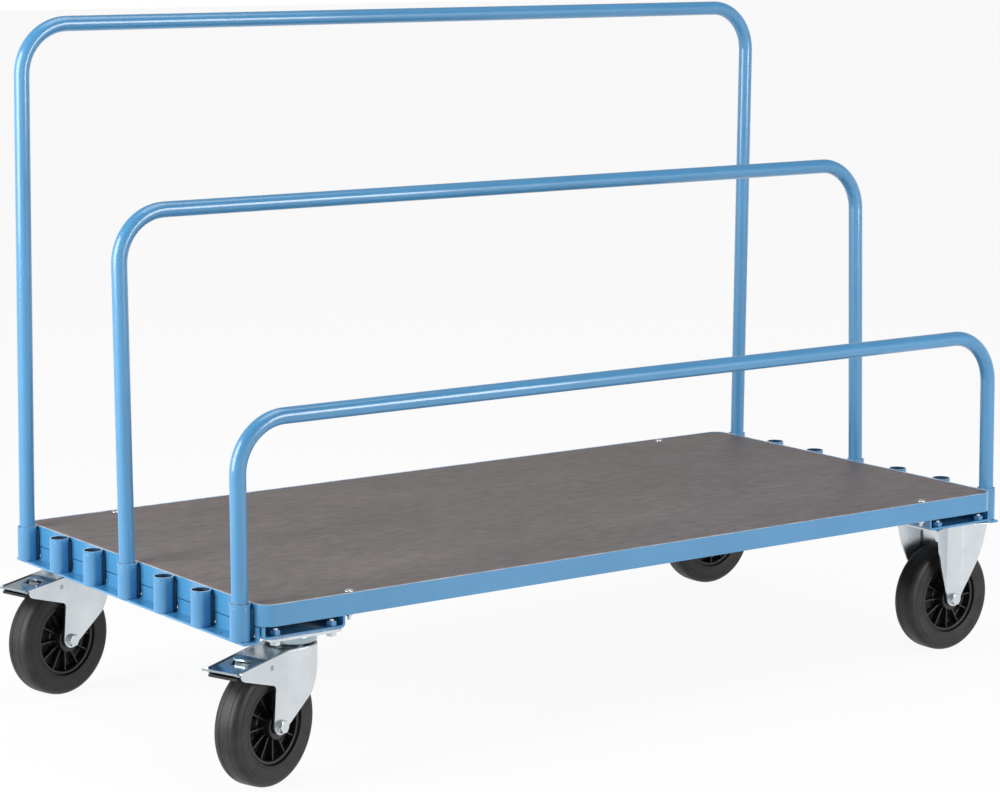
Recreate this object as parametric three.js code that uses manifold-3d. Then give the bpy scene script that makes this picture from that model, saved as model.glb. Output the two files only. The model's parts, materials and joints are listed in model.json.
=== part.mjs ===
// Sheet goods cart: a flush wooden deck in a welded steel edge frame on two swivel casters
// with foot brakes and two fixed casters. Three tube hoops of different heights stand in
// rows of sockets along both ends, and keep sheets upright between them.
//
// Millimetres, +Z up, floor at Z = 0. X runs along the deck with the swivel casters at -X,
// and -Y is the side of the low hoop.

import * as THREE from 'three';
import { mergeVertices } from 'three/addons/utils/BufferGeometryUtils.js';
import Module from 'manifold-3d';

const wasm = await Module();
wasm.setup();

// Clearances
const SEAT_GAP = 0.3; // between pieces that rest on, are welded to or are screwed to each other
const RUN_GAP = 0.5; // round a piece that turns
const LAP = 1; // of shapes that are joined, and of cutters past what they cut

// Facets of round pieces
const SMALL_SIDES = 8;
const ROD_SIDES = 12;
const RING_SIDES = 16;
const WHEEL_SIDES = 28;
const ARC_STEPS = 4; // half the steps of an arc
const TUBE_STEPS = 6; // half the steps round a hoop's tube
const HOOP_BEND_STEPS = 5;
const CURVE_STEPS = 3; // of a tyre's shoulder and a bolt's dome

// Edge frame and deck
const FRAME_LENGTH = 1600;
const FRAME_WIDTH = 800;
const FRAME_HEIGHT = 35;
const FRAME_FLANGE = 35;
const FRAME_SHEET = 4;
const FRAME_CORNER_RADIUS = 28;
const DECK_THICKNESS = 30;
const DECK_BOLT_END = 172; // from the frame's end to a bolt
const DECK_BOLT_EDGE = 17; // from the frame's side to a bolt
const DECK_BOLT_DIAMETER = 6;
const DECK_BOLT_HEAD_DIAMETER = 15;
const DECK_BOLT_HEAD_HEIGHT = 4;
const DECK_BOLT_LENGTH = 46;
const SPOT_FACE_DEPTH = 1; // round a bolt head, in the deck

// Socket rows
const SOCKET_COUNT = 7;
const SOCKET_END = 40; // from the frame's side to the first socket's middle
const SOCKET_DIAMETER = 33.7;
const SOCKET_WALL = 2;
const SOCKET_RAIL_SHEET = 3.5;
const SOCKET_RAIL_WIDTH = 30;
const SOCKET_RAIL_DROP = 27.7; // of its underside below the frame
const SOCKET_RAIL_INSET = 14; // of the rail's ends behind the frame's sides
const SOCKET_RAIL_SLIT = 1.5; // below the edge frame
const RAIL_NOTCH_WIDTH = 32; // behind each socket
const RAIL_NOTCH_HEIGHT = 17; // above the ledge
const DRAIN_HOLE_DIAMETER = 9;

// Hoops
const TUBE_DIAMETER = 26.9;
const TUBE_WALL = 2.3;
const HOOP_BEND_RADIUS = 87;
const TALL_HOOP_HEIGHT = 892; // above the edge frame
const MIDDLE_HOOP_HEIGHT = 597;
const LOW_HOOP_HEIGHT = 303;
const HOOPS = [
  { name: 'tall_hoop', socket: 1, height: TALL_HOOP_HEIGHT, leanDegrees: -0.7 },
  { name: 'middle_hoop', socket: 4, height: MIDDLE_HOOP_HEIGHT, leanDegrees: 1.5 },
  { name: 'low_hoop', socket: 7, height: LOW_HOOP_HEIGHT, leanDegrees: 0.8 },
];

// Caster channels
const CHANNEL_WIDTH = 153;
const CHANNEL_HEIGHT = 21.1;
const CHANNEL_INSET = 7.5; // of the channel's ends behind the frame's sides
const CHANNEL_RAIL_GAP = 2; // to the socket rail
const CHANNEL_SHEET = 4;

// Wheels
const WHEEL_DIAMETER = 200;
const WHEEL_WIDTH = 50;
const TYRE_THICKNESS = 35;
const TREAD_FLAT = 16;
const TYRE_SHOULDER = 15;
const TYRE_SIDE_TAPER = 2;
const RIM_INSET = 5; // of the rim's edge behind the tyre's side
const RIM_LIP = 8;
const RIM_WEB = 6;
const RIB_COUNT = 12;
const RIB_THICKNESS = 2.6;
const RIB_SETBACK = 3; // behind the rim's edge
const HUB_DIAMETER = 44;
const HUB_SIDE_GAP = 3; // to the fork leg
const AXLE_DIAMETER = 12;
const AXLE_TUBE_WALL = 3.5;
const AXLE_HEX = 19; // across flats
const AXLE_HEAD_HEIGHT = 7.5;
const AXLE_NUT_HEIGHT = 10;
const AXLE_END = 3; // thread past the nut

// Casters
const CASTER_INSET = 50.5; // of a caster's middle from the channel's end
const CASTER_OFFSET = 4; // of the casters from the channels' middles, towards +X
const SWIVEL_ANGLES = { front_left: 19.1, rear_left: 14.7 };
const PLATE_LENGTH = 136;
const PLATE_WIDTH = 110;
const PLATE_THICKNESS = 4;
const PLATE_CORNER_RADIUS = 12;
const PLATE_HOLE_SPACING_X = 105;
const PLATE_HOLE_SPACING_Y = 80;
const PLATE_HOLE_DIAMETER = 11;
const FORK_SHEET = 3.5;
const FORK_SIDE_GAP = 7; // from the tyre's side to a fork leg
const FOOT_RADIUS = 17.5; // of a leg's lower end
const FOOT_LIFT = 4; // of the round end's centre above the axle

// Swivel casters
const TRAIL = 66;
const KING_DIAMETER = 16;
const KING_HEAD_DIAMETER = 26;
const KING_HEAD_HEIGHT = 7.5;
const KING_CLEARANCE = 8; // from the tyre to the king bolt
const RACE_HEIGHT = 17.3;
const RACE_DIAMETER = 66;
const RACE_WIDTH = 7;
const SKIRT_DIAMETER = 88;
const SKIRT_WALL = 4;
const SKIRT_DEPTH = 14.5;
const ARM_REACH = 99; // behind the axle
const ARM_START = 13; // ahead of the axle, where the arm leaves the crown
const ARM_DROP = 14;
const ARM_TIP_DEPTH = 14.5;
const ARM_TIP_SLANT = 8;
const ARM_ROOT_DEPTH = 51.5; // from the crown to the corner of leg and arm
const LEG_BACK = 12.5;
const LEG_FRONT_ANGLE = 45; // where the round foot meets the slanted front edge
const CROWN_RADIUS = 44;
const SIDE_BEND = 21; // ahead of the axle, where the sides spread to the crown
const BROW_DEPTH = 19;
const BROW_SLANT = 6;
const CHEEK_SETBACK = 44;
const CHEEK_DEPTH = 75.8;
const ROOF_REACH = 30; // behind the axle

// Brake pedals
const PEDAL_SHEET = 3;
const PEDAL_INSET = 1.5; // below the arms' upper edges
const PEDAL_SIDE_GAP = 2.5;
const PEDAL_ROOF_GAP = 3;
const PEDAL_LIP_REACH = 12;
const PEDAL_LIP_RISE = 4;
const PEDAL_LIP_WIDTH = 72;
const PEDAL_WINDOW_WIDTH = 34;
const PEDAL_WINDOW_START = 10; // from the pedal's inner edge
const PEDAL_WINDOW_LENGTH = 40;
const PEDAL_TAB_LENGTH = 22;
const PEDAL_TAB_RISE = 7;
const PEDAL_TAB_WIDTH = 26;
const RELEASE_LIP_WIDTH = 54;
const RELEASE_LIP_DROP = 7;
const RELEASE_LIP_LENGTH = 33;
const PIVOT_BACK = 22; // behind the axle
const PIVOT_DROP = 20.5; // below the crown
const PIVOT_DIAMETER = 7;
const EAR_THICKNESS = 4;
const EAR_MARGIN = 3; // of metal round the pivot
const SHOE_START = 43; // behind the axle
const SHOE_LENGTH = 10;
const SHOE_CLEARANCE = 6.5;
const SHOE_WIDTH = 30;

// Fixed casters: half widths of a leg at heights above the axle
const FIXED_LEG_PANEL = 38; // flat middle of a leg
const FIXED_LEG_FLARE = 24.5; // degrees, of the wings beside it
const FIXED_LEG_LOW_RISE = 36;
const FIXED_LEG_LOW_HALF = 32;
const FIXED_LEG_MIDDLE_RISE = 69;
const FIXED_LEG_MIDDLE_HALF = 46;
const FIXED_LEG_HIGH_RISE = 98;
const FIXED_LEG_HIGH_HALF = 55;
const FIXED_LEG_TOP_HALF = 62.5;
const FIXED_LEG_OUTLINE = [
  { rise: FIXED_LEG_LOW_RISE, half: FIXED_LEG_LOW_HALF },
  { rise: FIXED_LEG_MIDDLE_RISE, half: FIXED_LEG_MIDDLE_HALF },
  { rise: FIXED_LEG_HIGH_RISE, half: FIXED_LEG_HIGH_HALF },
];

// Heights that follow from these
const AXLE_Z = WHEEL_DIAMETER / 2;
const KING_HEAD_TOP_Z = WHEEL_DIAMETER + KING_CLEARANCE + KING_HEAD_HEIGHT;
const CROWN_BOTTOM_Z = KING_HEAD_TOP_Z + SEAT_GAP;
const CROWN_Z = CROWN_BOTTOM_Z + FORK_SHEET;
const PLATE_BOTTOM_Z = CROWN_Z + RACE_HEIGHT + 2 * SEAT_GAP;
const PLATE_TOP_Z = PLATE_BOTTOM_Z + PLATE_THICKNESS;
const CHANNEL_BOTTOM_Z = PLATE_TOP_Z + SEAT_GAP;
const FRAME_BOTTOM_Z = CHANNEL_BOTTOM_Z + CHANNEL_HEIGHT + SEAT_GAP;
const FRAME_TOP_Z = FRAME_BOTTOM_Z + FRAME_HEIGHT;
const DECK_BOTTOM_Z = FRAME_BOTTOM_Z + FRAME_SHEET + SEAT_GAP;
const DECK_TOP_Z = DECK_BOTTOM_Z + DECK_THICKNESS;
const SPOT_FACE_Z = DECK_TOP_Z - SPOT_FACE_DEPTH;
const LEDGE_BOTTOM_Z = FRAME_BOTTOM_Z - SOCKET_RAIL_DROP;
const LEDGE_TOP_Z = LEDGE_BOTTOM_Z + SOCKET_RAIL_SHEET;
const SOCKET_BOTTOM_Z = LEDGE_TOP_Z + SEAT_GAP;

// Places that follow from these
const SOCKET_X = FRAME_LENGTH / 2 + SEAT_GAP + SOCKET_DIAMETER / 2;
const SOCKET_PITCH = (FRAME_WIDTH - 2 * SOCKET_END) / (SOCKET_COUNT - 1);
const SOCKET_RAIL_LENGTH = FRAME_WIDTH - 2 * SOCKET_RAIL_INSET;
const SOCKET_RAIL_BACK = FRAME_LENGTH / 2 - SOCKET_RAIL_SHEET;
const SOCKET_RAIL_LIP = SOCKET_RAIL_BACK + SOCKET_RAIL_WIDTH;
const DECK_BOLT_X = FRAME_LENGTH / 2 - DECK_BOLT_END;
const DECK_BOLT_Y = FRAME_WIDTH / 2 - DECK_BOLT_EDGE;
const CHANNEL_LENGTH = FRAME_WIDTH - 2 * CHANNEL_INSET;
const CHANNEL_X = SOCKET_RAIL_BACK - CHANNEL_RAIL_GAP - CHANNEL_WIDTH / 2;
const CASTER_Y = CHANNEL_LENGTH / 2 - CASTER_INSET;
const FORK_INNER = WHEEL_WIDTH / 2 + FORK_SIDE_GAP;
const FORK_OUTER = FORK_INNER + FORK_SHEET;
const ARM_SLOPE = ARM_DROP / (ARM_REACH + ARM_START);
const RIM_RADIUS = WHEEL_DIAMETER / 2 - TYRE_THICKNESS;

// Finishes
const BLUE_PAINT = { color: 0x4f96cf, roughness: 0.35, metalness: 0.1 };
const ZINC = { color: 0xc9ced1, roughness: 0.3, metalness: 0.9 };
const COATED_PLYWOOD = { color: 0x5d5553, roughness: 0.6, metalness: 0 };
const RUBBER = { color: 0x2b2a2a, roughness: 0.75, metalness: 0 };
const BLACK_PLASTIC = { color: 0x17171a, roughness: 0.5, metalness: 0 };

function piece(name, geometry, finish) {
  const mesh = new THREE.Mesh(geometry, new THREE.MeshStandardMaterial(finish));
  mesh.name = name;
  return mesh;
}

// Joining and cutting

function toSolid(geometry) {
  const bare = geometry.clone();
  bare.deleteAttribute('normal');
  bare.deleteAttribute('uv');
  const merged = mergeVertices(bare, 1e-4);
  const vertProperties = new Float32Array(merged.attributes.position.array);
  const triVerts = new Uint32Array(merged.index.array);
  return new wasm.Manifold(new wasm.Mesh({ numProp: 3, vertProperties, triVerts }));
}

function toGeometry(solid) {
  const mesh = solid.getMesh();
  const geometry = new THREE.BufferGeometry();
  geometry.setAttribute('position', new THREE.BufferAttribute(mesh.vertProperties, 3));
  geometry.setIndex(new THREE.BufferAttribute(mesh.triVerts, 1));
  geometry.computeVertexNormals();
  return geometry;
}

const joined = (...geometries) =>
  toGeometry(geometries.map(toSolid).reduce((sum, solid) => sum.add(solid)));

const cut = (geometry, ...cutters) =>
  toGeometry(cutters.map(toSolid).reduce((rest, solid) => rest.subtract(solid), toSolid(geometry)));

const common = (first, second) => toGeometry(toSolid(first).intersect(toSolid(second)));

// Basic forms

function outline(points) {
  return new THREE.Shape(points.map(([x, y]) => new THREE.Vector2(x, y)));
}

function roundHole(x, y, diameter) {
  return new THREE.Path().absarc(x, y, diameter / 2, 0, 2 * Math.PI, true);
}

function roundedRectangle(length, width, radius) {
  const x = length / 2 - radius;
  const y = width / 2 - radius;
  const shape = new THREE.Shape();
  shape.absarc(x, y, radius, 0, Math.PI / 2);
  shape.absarc(-x, y, radius, Math.PI / 2, Math.PI);
  shape.absarc(-x, -y, radius, Math.PI, 1.5 * Math.PI);
  shape.absarc(x, -y, radius, 1.5 * Math.PI, 2 * Math.PI);
  return shape;
}

// A plan outline, from one height to another
function upright(shape, bottom, top) {
  const geometry = new THREE.ExtrudeGeometry(shape, {
    depth: top - bottom,
    bevelEnabled: false,
    curveSegments: ARC_STEPS,
  });
  return geometry.translate(0, 0, bottom);
}

// A side outline in X and Z, from one Y to another
function crosswise(shape, near, far) {
  const geometry = new THREE.ExtrudeGeometry(shape, {
    depth: far - near,
    bevelEnabled: false,
    curveSegments: ARC_STEPS,
  });
  return geometry.rotateX(Math.PI / 2).translate(0, far, 0);
}

// A round piece about the Y axis, from its section in radius and Y
function turnedY(section, sides, phase = 0) {
  const points = [...section];
  if (THREE.ShapeUtils.isClockWise(points)) points.reverse();
  return new THREE.LatheGeometry([...points, points[0]], sides, phase);
}

function turnedZ(section, sides) {
  return turnedY(section, sides).rotateX(Math.PI / 2);
}

function ringSection(inner, outer, low, high) {
  return [
    new THREE.Vector2(inner, low),
    new THREE.Vector2(outer, low),
    new THREE.Vector2(outer, high),
    new THREE.Vector2(inner, high),
  ];
}

function rodZ(x, y, diameter, bottom, top, sides = ROD_SIDES) {
  const geometry = new THREE.CylinderGeometry(diameter / 2, diameter / 2, top - bottom, sides);
  return geometry.rotateX(Math.PI / 2).translate(x, y, (bottom + top) / 2);
}

function rodY(x, z, diameter, near, far, sides = ROD_SIDES) {
  const geometry = new THREE.CylinderGeometry(diameter / 2, diameter / 2, far - near, sides);
  return geometry.translate(x, (near + far) / 2, z);
}

function hexRodY(across, near, far) {
  const corners = (2 * across) / Math.sqrt(3);
  return rodY(0, 0, corners, near, far, 6);
}

// A path whose sections lie only at the given stations
class StationPath extends THREE.Curve {
  constructor(stations) {
    super();
    this.stations = stations;
  }

  station(share) {
    return this.stations[Math.round(share * (this.stations.length - 1))];
  }

  getPointAt(share, target = new THREE.Vector3()) {
    return target.copy(this.station(share).point);
  }

  getTangentAt(share, target = new THREE.Vector3()) {
    return target.copy(this.station(share).direction);
  }

  getSpacedPoints() {
    return this.stations.map(({ point }) => point.clone());
  }
}

// Edge frame: two bent angles, welded together behind the middle sockets

function frameHalfShape(inset, innerRadius) {
  const x = FRAME_LENGTH / 2;
  const y = FRAME_WIDTH / 2;
  const r = FRAME_CORNER_RADIUS;
  const end = -SEAT_GAP / 2;
  const shape = new THREE.Shape();
  shape.moveTo(-x, end);
  shape.absarc(-x + r, -y + r, r, Math.PI, 1.5 * Math.PI);
  shape.absarc(x - r, -y + r, r, 1.5 * Math.PI, 2 * Math.PI);
  shape.lineTo(x, end);
  shape.lineTo(x - inset, end);
  if (innerRadius > 0) {
    const cornerX = x - inset - innerRadius;
    const cornerY = -y + inset + innerRadius;
    shape.absarc(cornerX, cornerY, innerRadius, 2 * Math.PI, 1.5 * Math.PI, true);
    shape.absarc(-cornerX, cornerY, innerRadius, 1.5 * Math.PI, Math.PI, true);
  } else {
    shape.lineTo(x - inset, -y + inset);
    shape.lineTo(-x + inset, -y + inset);
  }
  shape.lineTo(-x + inset, end);
  return shape;
}

function frameHalf() {
  const wallShape = frameHalfShape(FRAME_SHEET, FRAME_CORNER_RADIUS - FRAME_SHEET);
  const wall = upright(wallShape, FRAME_BOTTOM_Z, FRAME_TOP_Z);
  const flangeShape = frameHalfShape(FRAME_FLANGE, 0);
  for (const x of [-DECK_BOLT_X, DECK_BOLT_X]) {
    flangeShape.holes.push(roundHole(x, -DECK_BOLT_Y, DECK_BOLT_DIAMETER + 2 * RUN_GAP));
  }
  const flange = upright(flangeShape, FRAME_BOTTOM_Z, FRAME_BOTTOM_Z + FRAME_SHEET);
  return joined(wall, flange);
}

function edgeFrame() {
  const group = new THREE.Group();
  group.add(piece('front_edge_frame', frameHalf(), BLUE_PAINT));
  group.add(piece('rear_edge_frame', frameHalf().rotateZ(Math.PI), BLUE_PAINT));
  return group;
}

// Deck

function deckBoard() {
  const inset = FRAME_SHEET + SEAT_GAP;
  const shape = roundedRectangle(
    FRAME_LENGTH - 2 * inset,
    FRAME_WIDTH - 2 * inset,
    FRAME_CORNER_RADIUS - FRAME_SHEET,
  );
  const spotFaces = [];
  for (const x of [-DECK_BOLT_X, DECK_BOLT_X]) {
    for (const y of [-DECK_BOLT_Y, DECK_BOLT_Y]) {
      shape.holes.push(roundHole(x, y, DECK_BOLT_DIAMETER + 2 * RUN_GAP));
      const diameter = DECK_BOLT_HEAD_DIAMETER + 2 * RUN_GAP;
      spotFaces.push(rodZ(x, y, diameter, SPOT_FACE_Z, DECK_TOP_Z + LAP, SMALL_SIDES));
    }
  }
  const board = cut(upright(shape, DECK_BOTTOM_Z, DECK_TOP_Z), ...spotFaces);
  return piece('deck_board', board, COATED_PLYWOOD);
}

function deckBolt() {
  const seat = SPOT_FACE_Z + SEAT_GAP;
  const section = new THREE.Shape();
  section.moveTo(0, seat - DECK_BOLT_LENGTH);
  section.lineTo(DECK_BOLT_DIAMETER / 2, seat - DECK_BOLT_LENGTH);
  section.lineTo(DECK_BOLT_DIAMETER / 2, seat);
  section.lineTo(DECK_BOLT_HEAD_DIAMETER / 2, seat);
  section.quadraticCurveTo(
    DECK_BOLT_HEAD_DIAMETER / 2,
    seat + DECK_BOLT_HEAD_HEIGHT,
    0,
    seat + DECK_BOLT_HEAD_HEIGHT,
  );
  return new THREE.LatheGeometry(section.getPoints(CURVE_STEPS), SMALL_SIDES).rotateX(Math.PI / 2);
}

function deckBolts() {
  const group = new THREE.Group();
  for (const [endName, x] of [['left', -DECK_BOLT_X], ['right', DECK_BOLT_X]]) {
    for (const [sideName, y] of [['front', -DECK_BOLT_Y], ['rear', DECK_BOLT_Y]]) {
      const bolt = piece(`${sideName}_${endName}_deck_bolt`, deckBolt(), ZINC);
      bolt.position.set(x, y, 0);
      group.add(bolt);
    }
  }
  return group;
}

// Socket rows, one for each end

const socketY = (number) => ((SOCKET_COUNT + 1) / 2 - number) * SOCKET_PITCH;

function socketRail(end) {
  const face = FRAME_LENGTH / 2;
  const back = SOCKET_RAIL_BACK;
  const lip = SOCKET_RAIL_LIP;
  const top = FRAME_BOTTOM_Z - SOCKET_RAIL_SLIT;
  const section = outline([
    [end * back, LEDGE_BOTTOM_Z],
    [end * lip, LEDGE_BOTTOM_Z],
    [end * lip, LEDGE_TOP_Z],
    [end * face, LEDGE_TOP_Z],
    [end * face, top],
    [end * back, top],
  ]);
  const rail = crosswise(section, -SOCKET_RAIL_LENGTH / 2, SOCKET_RAIL_LENGTH / 2);
  const drainY = (socketY(1) + socketY(2)) / 2;
  const drains = [-drainY, drainY].map((y) =>
    rodZ((end * (face + lip)) / 2, y, DRAIN_HOLE_DIAMETER, LEDGE_BOTTOM_Z - LAP, LEDGE_TOP_Z + LAP));
  const notches = Array.from({ length: SOCKET_COUNT }, (_, index) => {
    const notch = new THREE.BoxGeometry(SOCKET_RAIL_SHEET + 2 * LAP, RAIL_NOTCH_WIDTH, RAIL_NOTCH_HEIGHT);
    return notch.translate(end * (back + face) / 2, socketY(index + 1), LEDGE_TOP_Z + RAIL_NOTCH_HEIGHT / 2);
  });
  return cut(rail, ...drains, ...notches);
}

function socket() {
  const outer = SOCKET_DIAMETER / 2;
  return turnedZ(ringSection(outer - SOCKET_WALL, outer, SOCKET_BOTTOM_Z, FRAME_TOP_Z), RING_SIDES);
}

function socketRow(endName, end) {
  const group = new THREE.Group();
  group.add(piece(`${endName}_socket_rail`, socketRail(end), BLUE_PAINT));
  for (let number = 1; number <= SOCKET_COUNT; number += 1) {
    const tube = piece(`${endName}_socket_${number}`, socket(), BLUE_PAINT);
    tube.position.set(end * SOCKET_X, socketY(number), 0);
    group.add(tube);
  }
  return group;
}

// Hoops: bent tubes that stand on the socket rails' ledges

function hoopPath(bottom, top) {
  const x = SOCKET_X;
  const r = HOOP_BEND_RADIUS;
  const up = new THREE.Vector3(0, 0, 1);
  const down = new THREE.Vector3(0, 0, -1);
  const bend = (centreX, start) => Array.from({ length: HOOP_BEND_STEPS + 1 }, (_, step) => {
    const angle = start - ((Math.PI / 2) * step) / HOOP_BEND_STEPS;
    const out = new THREE.Vector3(Math.cos(angle), 0, Math.sin(angle));
    const point = out.clone().multiplyScalar(r).add(new THREE.Vector3(centreX, 0, top - r));
    return { point, direction: new THREE.Vector3(out.z, 0, -out.x) };
  });
  return new StationPath([
    { point: new THREE.Vector3(-x, 0, bottom), direction: up },
    ...bend(-x + r, Math.PI),
    ...bend(x - r, Math.PI / 2),
    { point: new THREE.Vector3(x, 0, bottom), direction: down },
  ]);
}

function hoop({ name, socket: number, height, leanDegrees }) {
  const radius = TUBE_DIAMETER / 2;
  const lean = THREE.MathUtils.degToRad(leanDegrees);
  const middle = (SOCKET_BOTTOM_Z + FRAME_TOP_Z) / 2;
  const foot = LEDGE_TOP_Z + SEAT_GAP + radius * Math.abs(Math.sin(lean));
  const path = hoopPath(foot - middle, FRAME_TOP_Z + height - radius - middle);
  const section = new THREE.Shape().absarc(0, 0, radius, 0, 2 * Math.PI);
  section.holes.push(roundHole(0, 0, TUBE_DIAMETER - 2 * TUBE_WALL));
  const geometry = new THREE.ExtrudeGeometry(section, {
    steps: path.stations.length - 1,
    extrudePath: path,
    curveSegments: TUBE_STEPS,
  });
  const mesh = piece(name, geometry, BLUE_PAINT);
  mesh.position.set(0, socketY(number), middle);
  mesh.rotation.x = -lean;
  return mesh;
}

// Caster channels, open upwards, across both ends

function platePoints() {
  const x = PLATE_HOLE_SPACING_X / 2;
  const y = PLATE_HOLE_SPACING_Y / 2;
  return [[-x, -y], [x, -y], [x, y], [-x, y]];
}

function casterChannel(name, end) {
  const half = CHANNEL_WIDTH / 2;
  const inner = half - CHANNEL_SHEET;
  const top = CHANNEL_BOTTOM_Z + CHANNEL_HEIGHT;
  const web = CHANNEL_BOTTOM_Z + CHANNEL_SHEET;
  const section = outline([
    [-half, CHANNEL_BOTTOM_Z],
    [half, CHANNEL_BOTTOM_Z],
    [half, top],
    [inner, top],
    [inner, web],
    [-inner, web],
    [-inner, top],
    [-half, top],
  ]);
  const channel = crosswise(section, -CHANNEL_LENGTH / 2, CHANNEL_LENGTH / 2);
  const low = CHANNEL_BOTTOM_Z - LAP;
  const holes = [-CASTER_Y, CASTER_Y].flatMap((casterY) => platePoints().map(([x, y]) =>
    rodZ(CASTER_OFFSET + x, casterY + y, PLATE_HOLE_DIAMETER, low, web + LAP, SMALL_SIDES)));
  const mesh = piece(name, cut(channel, ...holes), BLUE_PAINT);
  mesh.position.x = end * CHANNEL_X;
  return mesh;
}

// Wheels, made about their own centre with the axle along Y

// Half a side of turn puts a flat of the tread on the floor
const WHEEL_PHASE = Math.PI / WHEEL_SIDES;
const overFlats = (radius) => radius / Math.cos(Math.PI / WHEEL_SIDES);

function tyre() {
  const outer = overFlats(WHEEL_DIAMETER / 2);
  const inner = overFlats(RIM_RADIUS + SEAT_GAP);
  const half = WHEEL_WIDTH / 2;
  const bead = half - TYRE_SIDE_TAPER;
  const section = new THREE.Shape();
  section.moveTo(inner, -bead);
  section.lineTo(outer - TYRE_SHOULDER, -half);
  section.quadraticCurveTo(outer, -half, outer, -TREAD_FLAT / 2);
  section.lineTo(outer, TREAD_FLAT / 2);
  section.quadraticCurveTo(outer, half, outer - TYRE_SHOULDER, half);
  section.lineTo(inner, bead);
  return turnedY(section.getPoints(CURVE_STEPS), WHEEL_SIDES, WHEEL_PHASE);
}

function rim() {
  const outer = overFlats(RIM_RADIUS);
  const well = overFlats(RIM_RADIUS - RIM_LIP);
  const hub = overFlats(HUB_DIAMETER / 2);
  const bore = overFlats(AXLE_DIAMETER / 2 + RUN_GAP + AXLE_TUBE_WALL + RUN_GAP);
  const edge = WHEEL_WIDTH / 2 - RIM_INSET;
  const web = RIM_WEB / 2;
  const hubHalf = FORK_INNER - HUB_SIDE_GAP;
  const section = outline([
    [bore, -hubHalf],
    [hub, -hubHalf],
    [hub, -web],
    [well, -web],
    [well, -edge],
    [outer, -edge],
    [outer, edge],
    [well, edge],
    [well, web],
    [hub, web],
    [hub, hubHalf],
    [bore, hubHalf],
  ]).getPoints();
  const body = turnedY(section, WHEEL_SIDES, WHEEL_PHASE);
  const start = (bore + hub) / 2;
  const end = (well + outer) / 2;
  const ribs = Array.from({ length: RIB_COUNT }, (_, number) => {
    const rib = new THREE.BoxGeometry(end - start, 2 * (edge - RIB_SETBACK), RIB_THICKNESS);
    return rib.translate((start + end) / 2, 0, 0).rotateY((2 * Math.PI * number) / RIB_COUNT);
  });
  return joined(body, ...ribs);
}

function axleBolt() {
  const head = hexRodY(AXLE_HEX, -FORK_OUTER - SEAT_GAP - AXLE_HEAD_HEIGHT, -FORK_OUTER - SEAT_GAP);
  const tip = FORK_OUTER + SEAT_GAP + AXLE_NUT_HEIGHT + AXLE_END;
  return joined(head, rodY(0, 0, AXLE_DIAMETER, -FORK_OUTER - LAP, tip));
}

function axleNut() {
  const near = FORK_OUTER + SEAT_GAP;
  const far = near + AXLE_NUT_HEIGHT;
  const nut = hexRodY(AXLE_HEX, near, far);
  return cut(nut, rodY(0, 0, AXLE_DIAMETER + 2 * RUN_GAP, near - LAP, far + LAP));
}

function axleTube() {
  const inner = AXLE_DIAMETER / 2 + RUN_GAP;
  const half = FORK_INNER - SEAT_GAP;
  return turnedY(ringSection(inner, inner + AXLE_TUBE_WALL, -half, half), ROD_SIDES);
}

function wheelSet(name) {
  const group = new THREE.Group();
  group.add(piece(`${name}_tyre`, tyre(), RUBBER));
  group.add(piece(`${name}_rim`, rim(), BLACK_PLASTIC));
  group.add(piece(`${name}_axle_tube`, axleTube(), ZINC));
  group.add(piece(`${name}_axle_bolt`, axleBolt(), ZINC));
  group.add(piece(`${name}_axle_nut`, axleNut(), ZINC));
  group.position.z = AXLE_Z;
  return group;
}

// Swivel casters, made about the king bolt with the wheel trailing towards -X

function topPlate() {
  const shape = roundedRectangle(PLATE_LENGTH, PLATE_WIDTH, PLATE_CORNER_RADIUS);
  for (const [x, y] of platePoints()) shape.holes.push(roundHole(x, y, PLATE_HOLE_DIAMETER));
  const plate = upright(shape, PLATE_BOTTOM_Z, PLATE_TOP_Z);
  const outer = SKIRT_DIAMETER / 2;
  const low = PLATE_BOTTOM_Z - SKIRT_DEPTH;
  const skirt = turnedZ(ringSection(outer - SKIRT_WALL, outer, low, PLATE_BOTTOM_Z + LAP), RING_SIDES);
  const kingHole = rodZ(0, 0, KING_DIAMETER + 2 * RUN_GAP, low - LAP, PLATE_TOP_Z + LAP, RING_SIDES);
  return cut(joined(plate, skirt), kingHole);
}

function kingBolt() {
  const low = KING_HEAD_TOP_Z - KING_HEAD_HEIGHT;
  const head = rodZ(0, 0, KING_HEAD_DIAMETER, low, KING_HEAD_TOP_Z, RING_SIDES);
  const top = PLATE_TOP_Z - SEAT_GAP;
  const shank = rodZ(0, 0, KING_DIAMETER, KING_HEAD_TOP_Z - LAP, top, RING_SIDES);
  return joined(head, shank);
}

function ballRace() {
  const outer = RACE_DIAMETER / 2;
  const bottom = CROWN_Z + SEAT_GAP;
  return turnedZ(ringSection(outer - RACE_WIDTH, outer, bottom, bottom + RACE_HEIGHT), RING_SIDES);
}

// Height of the arms' upper edge, at a distance behind the axle
const armTop = (behind) => CROWN_Z - (behind + ARM_START) * ARM_SLOPE;

function forkSide() {
  const x = -TRAIL;
  const front = THREE.MathUtils.degToRad(LEG_FRONT_ANGLE);
  const shape = new THREE.Shape();
  shape.absarc(x, AXLE_Z + FOOT_LIFT, FOOT_RADIUS, Math.PI, 2 * Math.PI - front);
  shape.lineTo(CROWN_RADIUS - CHEEK_SETBACK, CROWN_Z - CHEEK_DEPTH);
  shape.lineTo(CROWN_RADIUS - BROW_SLANT, CROWN_Z - BROW_DEPTH);
  shape.lineTo(CROWN_RADIUS + LAP, CROWN_Z);
  shape.lineTo(x + ARM_START, CROWN_Z);
  shape.lineTo(x - ARM_REACH, armTop(ARM_REACH));
  shape.lineTo(x - ARM_REACH + ARM_TIP_SLANT, armTop(ARM_REACH) - ARM_TIP_DEPTH);
  shape.lineTo(x - LEG_BACK, CROWN_Z - ARM_ROOT_DEPTH);
  return shape;
}

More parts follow.
